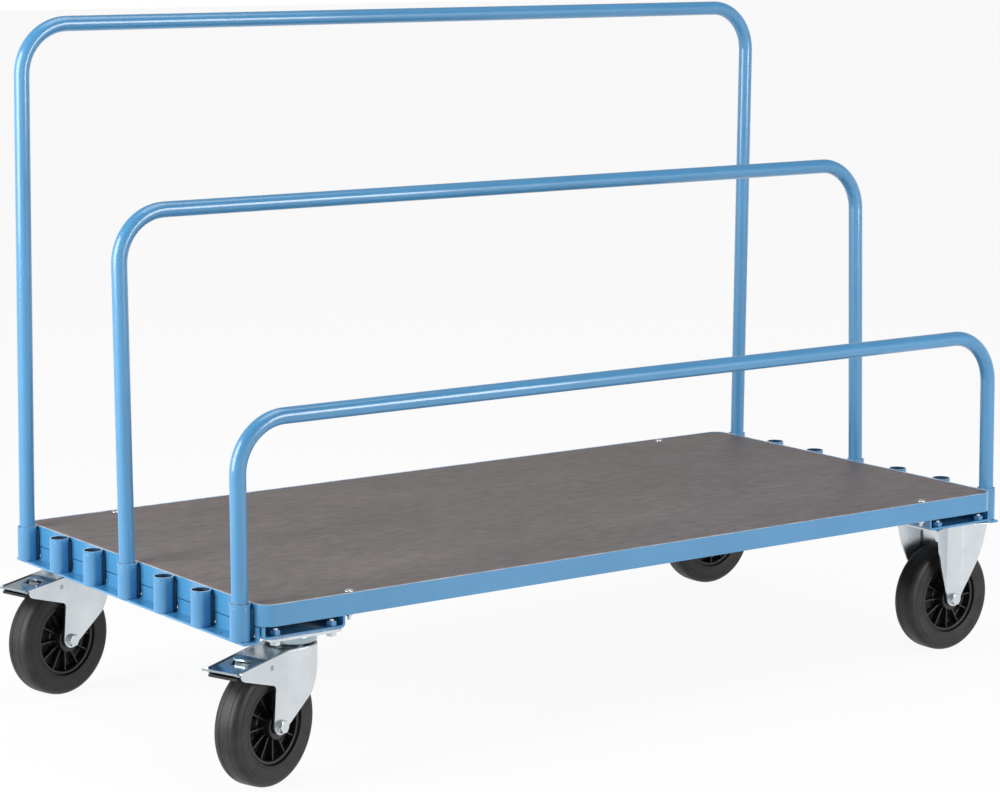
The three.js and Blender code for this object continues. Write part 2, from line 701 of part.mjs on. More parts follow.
// Angle from +X at which a side that spreads from its bend touches the round crown
const touchAngle = (bend, half, radius) =>
  Math.atan2(half, bend) - Math.acos(radius / Math.hypot(bend, half));

function forkPlan(filled) {
  const back = -TRAIL - ARM_REACH - LAP;
  const bend = -TRAIL + SIDE_BEND;
  const outer = touchAngle(bend, FORK_OUTER, CROWN_RADIUS);
  const shape = new THREE.Shape();
  shape.moveTo(back, -FORK_OUTER);
  shape.lineTo(bend, -FORK_OUTER);
  shape.absarc(0, 0, CROWN_RADIUS, -outer, outer);
  shape.lineTo(bend, FORK_OUTER);
  shape.lineTo(back, FORK_OUTER);
  if (!filled) {
    const innerRadius = CROWN_RADIUS - FORK_SHEET;
    const inner = touchAngle(bend, FORK_INNER, innerRadius);
    shape.lineTo(back, FORK_INNER);
    shape.lineTo(bend, FORK_INNER);
    shape.absarc(0, 0, innerRadius, inner, -inner, true);
    shape.lineTo(bend, -FORK_INNER);
    shape.lineTo(back, -FORK_INNER);
  }
  return shape;
}

function swivelFork() {
  const x = -TRAIL;
  const low = AXLE_Z + FOOT_LIFT - FOOT_RADIUS - LAP;
  const wide = CROWN_RADIUS + LAP;
  const walls = common(upright(forkPlan(false), low, CROWN_Z), crosswise(forkSide(), -wide, wide));
  const roofSection = outline([
    [CROWN_RADIUS + LAP, CROWN_Z],
    [x + ARM_START, CROWN_Z],
    [x - ROOF_REACH, armTop(ROOF_REACH)],
    [x - ROOF_REACH, armTop(ROOF_REACH) - FORK_SHEET],
    [x + ARM_START, CROWN_BOTTOM_Z],
    [CROWN_RADIUS + LAP, CROWN_BOTTOM_Z],
  ]);
  const roof = common(upright(forkPlan(true), low, CROWN_Z), crosswise(roofSection, -wide, wide));
  return cut(
    joined(walls, roof),
    rodZ(0, 0, KING_DIAMETER + 2 * RUN_GAP, CROWN_BOTTOM_Z - LAP, CROWN_Z + LAP, RING_SIDES),
    rodY(x, AXLE_Z, AXLE_DIAMETER + 2 * RUN_GAP, -wide, wide),
    rodY(x - PIVOT_BACK, CROWN_Z - PIVOT_DROP, PIVOT_DIAMETER + 2 * RUN_GAP, -wide, wide),
  );
}

// Brake pedal: a pressed plate between the arms, on stub pins in the fork's sides

function brakePedal() {
  const x = -TRAIL;
  const inner = ROOF_REACH + PEDAL_ROOF_GAP;
  const outer = ARM_REACH + PEDAL_INSET;
  const half = FORK_INNER - PEDAL_SIDE_GAP;
  const top = (behind) => armTop(behind) - PEDAL_INSET;
  const sheet = (from, to, fromZ, toZ) => outline([
    [x - from, fromZ],
    [x - to, toZ],
    [x - to, toZ - PEDAL_SHEET],
    [x - from, fromZ - PEDAL_SHEET],
  ]);
  const windowStart = inner + PEDAL_WINDOW_START;
  const windowEnd = windowStart + PEDAL_WINDOW_LENGTH;
  const windowShape = outline([
    [x - windowStart, -PEDAL_WINDOW_WIDTH / 2],
    [x - windowStart, PEDAL_WINDOW_WIDTH / 2],
    [x - windowEnd, PEDAL_WINDOW_WIDTH / 2],
    [x - windowEnd, -PEDAL_WINDOW_WIDTH / 2],
  ]);
  const plate = cut(
    crosswise(sheet(inner, outer, top(inner), top(outer)), -half, half),
    upright(windowShape, AXLE_Z, CROWN_Z + LAP),
  );
  const lipHalf = PEDAL_LIP_WIDTH / 2;
  const lipEnd = outer + PEDAL_LIP_REACH;
  const lipSection = sheet(outer - SEAT_GAP / 2, lipEnd, top(outer), top(outer) + PEDAL_LIP_RISE);
  const lip = crosswise(lipSection, -lipHalf, lipHalf);
  const tabEnd = windowStart + PEDAL_TAB_LENGTH;
  const tabSection = sheet(windowStart - LAP, tabEnd, top(windowStart), top(tabEnd) + PEDAL_TAB_RISE);
  const tab = crosswise(tabSection, -PEDAL_TAB_WIDTH / 2, PEDAL_TAB_WIDTH / 2);
  const releaseStart = outer - RELEASE_LIP_LENGTH;
  const releaseSection = sheet(
    releaseStart,
    outer,
    top(releaseStart) - PEDAL_SHEET / 2,
    top(outer) - RELEASE_LIP_DROP,
  );
  const releaseHalf = RELEASE_LIP_WIDTH / 2;
  const windowHalf = PEDAL_WINDOW_WIDTH / 2;
  const shoeEnd = SHOE_START + SHOE_LENGTH;
  const tread = (behind) => AXLE_Z + Math.sqrt((WHEEL_DIAMETER / 2) ** 2 - behind ** 2);
  const shoeSection = outline([
    [x - SHOE_START, top(SHOE_START) - PEDAL_SHEET / 2],
    [x - shoeEnd, top(shoeEnd) - PEDAL_SHEET / 2],
    [x - shoeEnd, tread(shoeEnd) + SHOE_CLEARANCE],
    [x - SHOE_START, tread(SHOE_START) + SHOE_CLEARANCE],
  ]);
  const pivotX = x - PIVOT_BACK;
  const pivotZ = CROWN_Z - PIVOT_DROP;
  const earRadius = PIVOT_DIAMETER / 2 + EAR_MARGIN;
  const earSection = outline([
    [pivotX + earRadius, pivotZ - earRadius],
    [pivotX + earRadius, pivotZ + earRadius],
    [x - inner - LAP, top(inner + LAP) - PEDAL_SHEET / 2],
    [x - inner - 2 * earRadius, top(inner + 2 * earRadius) - PEDAL_SHEET / 2],
    [pivotX - earRadius, pivotZ - earRadius],
  ]);
  const ears = [-half, half - EAR_THICKNESS].map((near) => crosswise(earSection, near, near + EAR_THICKNESS));
  const pins = [
    rodY(pivotX, pivotZ, PIVOT_DIAMETER, -FORK_OUTER - SEAT_GAP, -half + LAP),
    rodY(pivotX, pivotZ, PIVOT_DIAMETER, half - LAP, FORK_OUTER + SEAT_GAP),
  ];
  const shoe = crosswise(shoeSection, -SHOE_WIDTH / 2, SHOE_WIDTH / 2);
  const shoeBridge = crosswise(
    sheet(SHOE_START, shoeEnd, top(SHOE_START), top(shoeEnd)),
    -windowHalf - LAP,
    windowHalf + LAP,
  );
  return joined(
    plate,
    lip,
    tab,
    crosswise(releaseSection, -releaseHalf, releaseHalf),
    ...ears,
    ...pins,
    shoeBridge,
    shoe,
  );
}

function swivelCaster(name, y) {
  const caster = new THREE.Group();
  caster.add(piece(`${name}_top_plate`, topPlate(), ZINC));
  caster.add(piece(`${name}_king_bolt`, kingBolt(), ZINC));
  caster.add(piece(`${name}_ball_race`, ballRace(), ZINC));
  const turning = new THREE.Group();
  turning.add(piece(`${name}_fork`, swivelFork(), ZINC));
  turning.add(piece(`${name}_brake_pedal`, brakePedal(), ZINC));
  const wheel = wheelSet(name);
  wheel.position.x = -TRAIL;
  turning.add(wheel);
  turning.rotation.z = THREE.MathUtils.degToRad(SWIVEL_ANGLES[name]);
  caster.add(turning);
  caster.position.set(CASTER_OFFSET - CHANNEL_X, y, 0);
  return caster;
}

// Fixed casters

const fixedLegFlare = (reach) =>
  (reach - FIXED_LEG_PANEL / 2) * Math.tan(THREE.MathUtils.degToRad(FIXED_LEG_FLARE));

// The plate's long sides follow the legs below them
function fixedPlate() {
  const panel = FIXED_LEG_PANEL / 2;
  const reach = PLATE_LENGTH / 2;
  const wide = FORK_OUTER + fixedLegFlare(reach);
  const shape = outline([
    [-reach, -wide],
    [-panel, -FORK_OUTER],
    [panel, -FORK_OUTER],
    [reach, -wide],
    [reach, wide],
    [panel, FORK_OUTER],
    [-panel, FORK_OUTER],
    [-reach, wide],
  ]);
  for (const [x, y] of platePoints()) shape.holes.push(roundHole(x, y, PLATE_HOLE_DIAMETER));
  return upright(shape, PLATE_BOTTOM_Z, PLATE_TOP_Z);
}

function fixedLeg(side) {
  const panel = FIXED_LEG_PANEL / 2;
  const reach = FIXED_LEG_TOP_HALF + LAP;
  const flare = fixedLegFlare(reach);
  const plan = outline([
    [-reach, side * (FORK_OUTER + flare)],
    [-panel, side * FORK_OUTER],
    [panel, side * FORK_OUTER],
    [reach, side * (FORK_OUTER + flare)],
    [reach, side * (FORK_INNER + flare)],
    [panel, side * FORK_INNER],
    [-panel, side * FORK_INNER],
    [-reach, side * (FORK_INNER + flare)],
  ]);
  const face = new THREE.Shape();
  face.absarc(0, AXLE_Z + FOOT_LIFT, FOOT_RADIUS, Math.PI, 2 * Math.PI);
  for (const { rise, half } of FIXED_LEG_OUTLINE) face.lineTo(half, AXLE_Z + rise);
  face.lineTo(FIXED_LEG_TOP_HALF, PLATE_BOTTOM_Z + LAP);
  face.lineTo(-FIXED_LEG_TOP_HALF, PLATE_BOTTOM_Z + LAP);
  for (const { rise, half } of [...FIXED_LEG_OUTLINE].reverse()) face.lineTo(-half, AXLE_Z + rise);
  const wide = FORK_OUTER + flare + LAP;
  const blank = upright(plan, AXLE_Z + FOOT_LIFT - FOOT_RADIUS - LAP, PLATE_BOTTOM_Z + LAP);
  return common(blank, crosswise(face, -wide, wide));
}

function fixedFork() {
  const wide = FORK_OUTER + LAP;
  return cut(
    joined(fixedPlate(), fixedLeg(-1), fixedLeg(1)),
    rodY(0, AXLE_Z, AXLE_DIAMETER + 2 * RUN_GAP, -wide, wide),
  );
}

function fixedCaster(name, y) {
  const caster = new THREE.Group();
  caster.add(piece(`${name}_fork`, fixedFork(), ZINC));
  caster.add(wheelSet(name));
  caster.position.set(CASTER_OFFSET + CHANNEL_X, y, 0);
  return caster;
}

// The whole cart

const assembly = new THREE.Group();
assembly.add(
  edgeFrame(),
  deckBoard(),
  deckBolts(),
  socketRow('left', -1),
  socketRow('right', 1),
  ...HOOPS.map(hoop),
  casterChannel('left_caster_channel', -1),
  casterChannel('right_caster_channel', 1),
  swivelCaster('front_left', -CASTER_Y),
  swivelCaster('rear_left', CASTER_Y),
  fixedCaster('front_right', -CASTER_Y),
  fixedCaster('rear_right', CASTER_Y),
);

// The origin lies on the floor, in the middle of the cart's overall footprint
const middle = new THREE.Box3().setFromObject(assembly, true).getCenter(new THREE.Vector3());
assembly.position.set(-middle.x, -middle.y, 0);

const cart = new THREE.Group();
cart.name = 'sheet_goods_cart';
cart.add(assembly);

export default cart;
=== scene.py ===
"""Sheet goods cart: a coated plywood deck in a blue steel edge frame on two swivel casters with
foot brakes and two fixed casters. Three tube hoops stand in rows of sockets along both ends.

Metres, +Z up, floor at Z = 0. The swivel casters are at -X and the low hoop is at -Y.
"""

import contextlib
import json
import math

import bpy
from mathutils import Matrix, Vector


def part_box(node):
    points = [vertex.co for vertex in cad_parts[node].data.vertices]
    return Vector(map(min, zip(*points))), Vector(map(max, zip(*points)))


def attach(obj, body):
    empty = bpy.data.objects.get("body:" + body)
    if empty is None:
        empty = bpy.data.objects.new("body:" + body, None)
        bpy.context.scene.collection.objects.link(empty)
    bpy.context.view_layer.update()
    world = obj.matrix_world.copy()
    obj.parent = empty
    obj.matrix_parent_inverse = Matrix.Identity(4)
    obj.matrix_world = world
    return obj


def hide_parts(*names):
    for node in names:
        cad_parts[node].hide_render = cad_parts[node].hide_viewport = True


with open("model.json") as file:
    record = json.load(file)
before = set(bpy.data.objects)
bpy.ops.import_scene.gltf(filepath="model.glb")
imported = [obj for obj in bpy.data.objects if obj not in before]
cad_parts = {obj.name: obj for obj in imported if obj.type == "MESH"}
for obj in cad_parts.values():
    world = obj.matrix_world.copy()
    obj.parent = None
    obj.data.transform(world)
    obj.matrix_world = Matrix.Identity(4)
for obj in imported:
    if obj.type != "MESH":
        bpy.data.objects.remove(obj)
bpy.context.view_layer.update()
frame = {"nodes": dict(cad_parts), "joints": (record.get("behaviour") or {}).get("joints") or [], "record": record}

# Allowances
PAST = 0.001  # of cutters past what they cut
PLAY = 0.0005  # round a bolt in its hole
SEAT = 0.0003  # between pieces that rest on each other
EDGE_ANGLE = math.radians(35)  # from which an edge is softened

# Edge frame, deck and socket rails
FRAME_SHEET = 0.004
FRAME_FLANGE = 0.035
FRAME_CORNER = 0.028
FRAME_SEAM = 0.0003
HIGHLIGHT_DEPTH = 0.001  # of the painted highlight below an upper edge
DECK_CHAMFER = 0.0012
SPOT_FACE_RADIUS = 0.008
SPOT_FACE_DEPTH = 0.001
DECK_BOLT_RADIUS = 0.003
DECK_BOLT_LENGTH = 0.046
DECK_BOLT_TIP = 0.0006
DECK_BOLT_HEAD_RADIUS = 0.0075
DECK_BOLT_HEAD_HEIGHT = 0.004
DECK_BOLT_HEAD_RIM = 0.0008
DECK_NUT_HEX = 0.01
RAIL_SHEET = 0.0035
RAIL_BEND = 0.004
RAIL_CORNER = 0.004
RAIL_NOTCH_WIDTH = 0.032
RAIL_NOTCH_HEIGHT = 0.017
DRAIN_RADIUS = 0.0045
SOCKET_WALL = 0.002
SOCKET_COUNT = 7
SOCKET_GROOVE = 0.00035
WELD_RADIUS = 0.0033
WELD_STEP = 0.0011
WELD_SINK = 0.0012
WELD_TOP = 0.007  # below the frame's upper edge
WELD_END = 0.35  # width of a bead's ends, as a share of its full width

# Hoops and caster channels
TUBE_RADIUS = 0.01345
TUBE_WALL = 0.0023
TUBE_SIDES = 40
HOOP_BEND = 0.087
HOOP_BEND_STEPS = 18
HOOPS = {"tall_hoop": 1, "middle_hoop": 4, "low_hoop": 7}
CHANNEL_SHEET = 0.004
CHANNEL_BEND = 0.003

# Casters
SWIVEL_CASTERS = ("front_left", "rear_left")
FIXED_CASTERS = ("front_right", "rear_right")
AXLE_Z = 0.1
TRAIL = 0.066
CROWN_Z = 0.2193
PLATE_BOTTOM = 0.2372
PLATE_TOP = 0.2412
PLATE_LENGTH = 0.136
PLATE_WIDTH = 0.11
PLATE_CORNER = 0.012
PLATE_HOLE_X = 0.0525
PLATE_HOLE_Y = 0.04
PLATE_HOLE_RADIUS = 0.0055
CASTER_BOLT_RADIUS = 0.005
CASTER_BOLT_RISE = 0.0118  # above the channel's web
CASTER_BOLT_TIP = 0.0011
CASTER_HEX = 0.016
KING_HOLE = 0.0085
SKIRT_INNER = 0.0402
SKIRT_WAIST = 0.0408
SKIRT_RADIUS = 0.044
SKIRT_ROLL = 0.0028
SKIRT_DEPTH = 0.0145
RACE_INNER = 0.026
RACE_RADIUS = 0.033
RACE_HEIGHT = 0.0171
FORK_SHEET = 0.0035
FORK_INNER = 0.032
FORK_OUTER = 0.0355
FORK_FOLD = 0.0028
CROWN_RADIUS = 0.044
CHEEK_SETBACK = 0.044
CHEEK_DEPTH = 0.0758
BROW_SLANT = 0.006
BROW_DEPTH = 0.019
SIDE_BEND = 0.021
ARM_START = 0.013
ARM_REACH = 0.099
ARM_SLOPE = 0.014 / (ARM_REACH + ARM_START)
ARM_TIP_SLANT = 0.008
ARM_TIP_DEPTH = 0.0145
ARM_ROOT_DEPTH = 0.0515
LEG_BACK = 0.0125
ROOF_REACH = 0.03
FOOT_RADIUS = 0.0175
FOOT_Z = AXLE_Z + 0.004
FORK_LOW = FOOT_Z - FOOT_RADIUS - PAST
FIXED_PANEL = 0.038
FIXED_FLARE = math.radians(24.5)
FIXED_BEND = 0.02
FIXED_FOLD = 0.003
FIXED_WIDE = 0.065
FIXED_LEG = ((0.032, 0.036), (0.046, 0.069), (0.055, 0.098))  # half widths and rises above the axle
FIXED_LEG_TOP = 0.0625
FIXED_LEG_CURVE = 0.06
PIVOT_BACK = 0.022
PIVOT_Z = CROWN_Z - 0.0205
PIVOT_RADIUS = 0.0035
PEDAL_SHEET = 0.003
PEDAL_INSET = 0.0015  # below the arms' upper edges
PEDAL_HALF = 0.0295
PEDAL_INNER = ROOF_REACH + 0.001
PEDAL_OUTER = ARM_REACH + 0.0015
PEDAL_LIP = PEDAL_OUTER + 0.012
PEDAL_LIP_HALF = 0.036
PEDAL_LIP_RISE = 0.004
PEDAL_LOW = 0.18
PEDAL_HIGH = 0.23
WINDOW_START = 0.047
WINDOW_END = 0.0685
WINDOW_HALF = 0.017
TAB_START = 0.041
TAB_END = 0.0605
TAB_HALF = 0.013
TAB_RISE = 0.0072
RELEASE_HALF = 0.027
SHOE_START = 0.043
SHOE_END = 0.053
SHOE_HALF = 0.015
SHOE_GAP = 0.0065
EAR_HALF = 0.0065
EAR_SHEET = 0.004
EDGING_HALF = 0.028
WHEEL_RADIUS = 0.1
WHEEL_HALF = 0.025
TREAD_HALF = 0.0095
SHOULDER_RADIUS = 0.085
SHOULDER_STEPS = 9
RIM_RADIUS = 0.065
RIM_EDGE = 0.02
RIM_WELL = 0.057
RIM_WEB = 0.003
HUB_RADIUS = 0.022
HUB_HALF = 0.029
HUB_BORE = 0.0105
RIB_COUNT = 12
RIB_THICKNESS = 0.0026
RIB_INNER = 0.016
RIB_OUTER = 0.061
AXLE_RADIUS = 0.006
AXLE_HEX = 0.019
AXLE_TIP = 0.0012

# Studio
FLOOR_GREY = 0.92
FLOOR_WHITE = 0.93  # share of plain white where the floor is looked at
AMBIENT = 0.4  # light from all round, against 1 where it is looked at
SOFTBOXES = (
    ("front_softbox", (1.8, -4.3, 1.4), 1.8, 110),
    ("left_softbox", (-3.4, 0.4, 1.5), 2.2, 120),
    ("top_softbox", (0.2, -0.4, 4.6), 3.0, 80),
)
LIGHT_TARGET = Vector((0, 0, 0.45))
CAMERA_PLACE = Vector((-3.197887, -4.321005, 1.389123))  # from the deck's middle
CAMERA_YAW, CAMERA_PITCH, CAMERA_ROLL = 0.629091, -0.133902, 0.003173
CAMERA_LENS = 108.3224
CAMERA_SHIFT = -0.09

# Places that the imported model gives
deck_low, deck_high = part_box("deck_board")
frame_low, frame_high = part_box("front_edge_frame")
rail_low, rail_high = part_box("left_socket_rail")
channel_low, channel_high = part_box("left_caster_channel")
MIDDLE = Vector(((deck_low.x + deck_high.x) / 2, (deck_low.y + deck_high.y) / 2, 0))
ON_DECK = Matrix.Translation(MIDDLE)
HALF_TURN = ON_DECK @ Matrix.Rotation(math.pi, 4, "Z")
FRAME_X = (frame_high.x - frame_low.x) / 2
FRAME_Y = MIDDLE.y - frame_low.y
FRAME_BOTTOM = frame_low.z
FRAME_TOP = frame_high.z
JOINTS = {joint["name"]: joint for joint in frame["joints"]}
BODY_OF = {node: body for body, nodes in frame["record"]["behaviour"]["bodies"].items() for node in nodes}


# Modelling

def pick(piece):
    bpy.ops.object.select_all(action="DESELECT")
    piece.select_set(True)
    bpy.context.view_layer.objects.active = piece


@contextlib.contextmanager
def edit_mode(piece):
    pick(piece)
    bpy.ops.object.mode_set(mode="EDIT")
    bpy.ops.mesh.select_all(action="SELECT")
    yield
    bpy.ops.object.mode_set(mode="OBJECT")


def close_up():
    """Merges what meets and turns all faces outwards."""
    bpy.ops.mesh.select_all(action="SELECT")
    bpy.ops.mesh.remove_doubles(threshold=1e-6)
    bpy.ops.mesh.delete_loose(use_verts=True, use_edges=True, use_faces=False)
    bpy.ops.mesh.select_all(action="SELECT")
    bpy.ops.mesh.normals_make_consistent(inside=False)


def circle(name, sides, fill="NOTHING", radius=1, place=(0, 0, 0)):
    bpy.ops.object.select_all(action="DESELECT")
    bpy.ops.mesh.primitive_circle_add(vertices=sides, radius=radius, location=place, fill_type=fill)
    piece = bpy.context.object
    piece.name = name
    return piece


def outline(name, corners, filled=True):
    """A flat outline, from a circle with one point for each corner."""
    piece = circle(name, len(corners), "NGON" if filled else "NOTHING")
    for vertex, corner in zip(piece.data.vertices, corners):
        vertex.co = corner
    return piece


def extrude(*move):
    bpy.ops.mesh.extrude_region_move(TRANSFORM_OT_translate={"value": move})


def pulled(piece, move):
    with edit_mode(piece):
        extrude(*move)
        close_up()
    return piece


def upright(name, plan, bottom, top):
    return pulled(outline(name, [(x, y, bottom) for x, y in plan]), (0, 0, top - bottom))


def crosswise(name, side, near, far):
    return pulled(outline(name, [(x, near, z) for x, z in side]), (0, far - near, 0))


def turned(name, section, along="Z", steps=32):
    """A round piece, from half its section in radius and height, spun once about an axis."""
    if along == "Z":
        corners = [(radius, 0, height) for radius, height in section]
        axis = (0, 0, 1)
    else:
        corners = [(radius, height, 0) for radius, height in section]
        axis = (0, 1, 0)
    piece = outline(name, corners, filled=False)
    with edit_mode(piece):
        bpy.ops.mesh.spin(steps=steps, angle=2 * math.pi, center=(0, 0, 0), axis=axis)
        close_up()
    return piece


def rod(radius, low, high, along="Z", steps=24):
    return turned("rod", [(0, low), (radius, low), (radius, high), (0, high)], along, steps)


def shank_section(radius, low, tip, chamfer):
    return [(0, low), (radius, low), (radius, tip - chamfer), (radius - chamfer, tip), (0, tip)]


def apply(piece, kind, **settings):
    pick(piece)
    modifier = piece.modifiers.new(kind.lower(), kind)
    for name, value in settings.items():
        setattr(modifier, name, value)
    bpy.ops.object.modifier_apply(modifier=modifier.name)
    return piece


def combined(piece, operation, tools):
    for tool in tools:
        apply(piece, "BOOLEAN", operation=operation, object=tool, solver="MANIFOLD")
        pick(tool)
        bpy.ops.object.delete()
    return piece


def joined(piece, *others):
    return combined(piece, "UNION", others)


def cut(piece, *tools):
    return combined(piece, "DIFFERENCE", tools)


def common(piece, other):
    return combined(piece, "INTERSECT", [other])


def moved(piece, *place):
    piece.data.transform(Matrix.Translation(place))
    return piece


def smoothed(piece, degrees=40):
    pick(piece)
    bpy.ops.object.shade_smooth_by_angle(angle=math.radians(degrees))
    return apply(piece, "WEIGHTED_NORMAL", keep_sharp=True)


def bevelled(piece, width, segments):
    return apply(
        piece, "BEVEL", width=width, segments=segments, limit_method="ANGLE", angle_limit=EDGE_ANGLE)


def softened(piece, width, segments=2):
    """Takes the sharpness off all edges."""
    with edit_mode(piece):
        close_up()
    return smoothed(bevelled(piece, width, segments))


def copy_of(piece, name, place):
    twin = piece.copy()
    twin.data = piece.data.copy()
    twin.name = name
    bpy.context.collection.objects.link(twin)
    twin.data.transform(place)
    return twin


def cleared(*patterns):
    for pattern in patterns:
        pick(pattern)
        bpy.ops.object.delete()


def arc(x, y, radius, start, end, steps=12):
    """Points round a centre, between two angles in degrees."""
    turns = [math.radians(start + (end - start) * step / steps) for step in range(steps + 1)]
    return [(x + radius * math.cos(turn), y + radius * math.sin(turn)) for turn in turns]


def rounded(corners, steps=6):
    """The outline of corners given as x, y and radius."""
    points = []
    last = len(corners)
    for index, (x, y, radius) in enumerate(corners):
        here = Vector((x, y))
        if radius == 0:
            points.append((x, y))
            continue
        back = (Vector(corners[index - 1][:2]) - here).normalized()
        ahead = (Vector(corners[(index + 1) % last][:2]) - here).normalized()
        half = back.angle(ahead) / 2
        centre = here + (back + ahead).normalized() * radius / math.sin(half)
        start = here + back * radius / math.tan(half) - centre
        end = here + ahead * radius / math.tan(half) - centre
        sweep = math.atan2(start.x * end.y - start.y * end.x, start.dot(end))
        for step in range(steps + 1):
            point = centre + Matrix.Rotation(sweep * step / steps, 2) @ start
            points.append((point.x, point.y))
    return points


def plain(points):
    return [(x, y, 0) for x, y in points]


def mirrored(points):
    """Points and then, from the last to the first, the same points on the other side."""
    return [*points, *[(x, -y, *radius) for x, y, *radius in reversed(points)]]


def rectangle(length, width, radius):
    x = length / 2
    y = width / 2
    return rounded(mirrored([(-x, -y, radius), (x, -y, radius)]))


# Finishes

def shade(material, kind, inputs, **settings):
    made = material.node_tree.nodes.new(kind)
    for name, value in settings.items():
        setattr(made, name, value)
    for name, value in inputs.items():
        if isinstance(value, bpy.types.NodeSocket):
            material.node_tree.links.new(value, made.inputs[name])
        else:
            made.inputs[name].default_value = value
    return made


def finish(name, values):
    """A new finish with numbers and colours set on its shader."""
    material = bpy.data.materials.new(name)
    material.use_nodes = True
    shader = material.node_tree.nodes["Principled BSDF"]
    for socket, value in values.items():
        shader.inputs[socket].default_value = value
    return material


def feed(material, socket, source):
    shader = material.node_tree.nodes["Principled BSDF"]
    material.node_tree.links.new(source, shader.inputs[socket])


def coordinates(material, stretch=(1, 1, 1), turn=(0, 0, 0)):
    place = shade(material, "ShaderNodeTexCoord", {}).outputs["Object"]
    inputs = {"Vector": place, "Scale": stretch, "Rotation": turn}
    return shade(material, "ShaderNodeMapping", inputs).outputs["Vector"]


def cloud(material, scale, detail=3.0, stretch=(1, 1, 1)):
    inputs = {"Vector": coordinates(material, stretch), "Scale": scale, "Detail": detail}
    return shade(material, "ShaderNodeTexNoise", inputs).outputs["Fac"]


def spread(material, source, low, high):
    inputs = {"Value": source, "From Min": 0.3, "From Max": 0.7, "To Min": low, "To Max": high}
    return shade(material, "ShaderNodeMapRange", inputs).outputs["Result"]


def colours(material, source, *stops):
    ramp = shade(material, "ShaderNodeValToRGB", {"Fac": source})
    elements = ramp.color_ramp.elements
    elements[0].position, elements[0].color = stops[0][0], (*stops[0][1], 1)
    elements[1].position, elements[1].color = stops[-1][0], (*stops[-1][1], 1)
    for place, colour in stops[1:-1]:
        elements.new(place).color = (*colour, 1)
    return ramp.outputs["Color"]


def relief(material, *layers):
    """Bumps from heights, each with its strength and depth, one on top of the other."""
    normal = None
    for height, strength, depth in layers:
        inputs = {"Height": height, "Strength": strength, "Distance": depth}
        if normal:
            inputs["Normal"] = normal
        normal = shade(material, "ShaderNodeBump", inputs).outputs["Normal"]
    feed(material, "Normal", normal)


def worked(owner, operation, *values, kind="ShaderNodeMath"):
    """The result of one sum, which is a sum of vectors where the kind says so."""
    return shade(owner, kind, dict(enumerate(values)), operation=operation).outputs[0]


def mottled(name, values, patches, tones, gloss, *bumps):
    """A finish of two drifting tones. Its gloss drifts with them, or in patches of its own."""
    material = finish(name, values)
    tone = cloud(material, *patches)
    feed(material, "Base Color", colours(material, tone, *tones))
    low, high, *own = gloss
    feed(material, "Roughness", spread(material, cloud(material, *own) if own else tone, low, high))
    relief(material, *[(cloud(material, *grain), *bump) for grain, *bump in bumps])
    return material


def film_rub(material):
    """How far the film is rubbed through to the wood, which it is only close to the board's edge."""
    vectors = "ShaderNodeVectorMath"
    middle = (deck_low + deck_high) / 2
    place = shade(material, "ShaderNodeTexCoord", {}).outputs["Object"]
    inward = worked(material, "SUBTRACT", place, middle, kind=vectors)
    reach = worked(material, "ABSOLUTE", inward, kind=vectors)
    beyond = worked(material, "SUBTRACT", reach, deck_high - middle, kind=vectors)
    split = shade(material, "ShaderNodeSeparateXYZ", {"Vector": beyond}).outputs
    nearest = worked(material, "MAXIMUM", split["X"], split["Y"])
    ragged = worked(material, "MULTIPLY_ADD", cloud(material, 60.0), 0.012, nearest)
    inputs = {"Value": ragged, "From Min": -0.005, "From Max": 0.005, "To Min": 0.0, "To Max": 0.8}
    return shade(material, "ShaderNodeMapRange", inputs).outputs["Result"]


def film_faced_plywood():
    """Dark phenolic film with the fine raised lattice of a non-slip face."""
    material = finish("film_faced_plywood", {"Specular IOR Level": 0.3})
    weave = []
    for turn in (0.0, math.pi / 2):
        inputs = {"Vector": coordinates(material, turn=(0, 0, turn + 0.55)), "Scale": 52.0}
        weave.append(shade(material, "ShaderNodeTexWave", inputs).outputs["Fac"])
    lattice = worked(material, "MAXIMUM", *weave)
    drift = cloud(material, 3.2, 4.0, (1.0, 2.2, 1.0))
    streaks = cloud(material, 95.0, 4.0, (0.3, 1.0, 1.0))
    marks = worked(material, "MULTIPLY_ADD", lattice, 0.16, worked(material, "ADD", drift, streaks))
    tone = worked(material, "MULTIPLY", marks, 0.46)
    film = colours(material, tone, (0.36, (0.1, 0.084, 0.082)), (0.68, (0.205, 0.177, 0.175)))
    inputs = {0: film_rub(material), 6: film, 7: (0.27, 0.15, 0.1, 1)}
    feed(material, "Base Color", shade(material, "ShaderNodeMix", inputs, data_type="RGBA").outputs[2])
    feed(material, "Roughness", spread(material, drift, 0.46, 0.56))
    relief(material, (lattice, 0.3, 0.0006), (cloud(material, 260.0, 2.0), 0.12, 0.0003))
    return material


def plywood_edge():
    material = finish("plywood_edge", {"Roughness": 0.62})
    inputs = {
        "Vector": coordinates(material),
        "Scale": 68.0,
        "Distortion": 1.4,
        "Detail": 3.0,
        "Detail Scale": 2.0,
    }
    plies = shade(material, "ShaderNodeTexWave", inputs, bands_direction="Z").outputs["Fac"]
    fibre = cloud(material, 240.0, 4.0, (0.12, 0.12, 1.0))
    mixed = worked(material, "MULTIPLY", plies, fibre)
    feed(material, "Base Color", colours(
        material, mixed, (0.1, (0.2, 0.105, 0.052)), (0.6, (0.47, 0.29, 0.16))))
    relief(material, (fibre, 0.2, 0.0004))
    return material


FILM = film_faced_plywood()
PLY_EDGE = plywood_edge()
BLUE = mottled(
    "blue_powder_coat",
    {"Coat Weight": 0.8, "Coat Roughness": 0.1},
    (5.0,),
    [(0.3, (0.054, 0.246, 0.475)), (0.7, (0.066, 0.278, 0.525))],
    (0.32, 0.4, 60.0),
    ((420.0, 2.0), 0.1, 0.0005),
    ((1600.0,), 0.05, 0.0003),
)
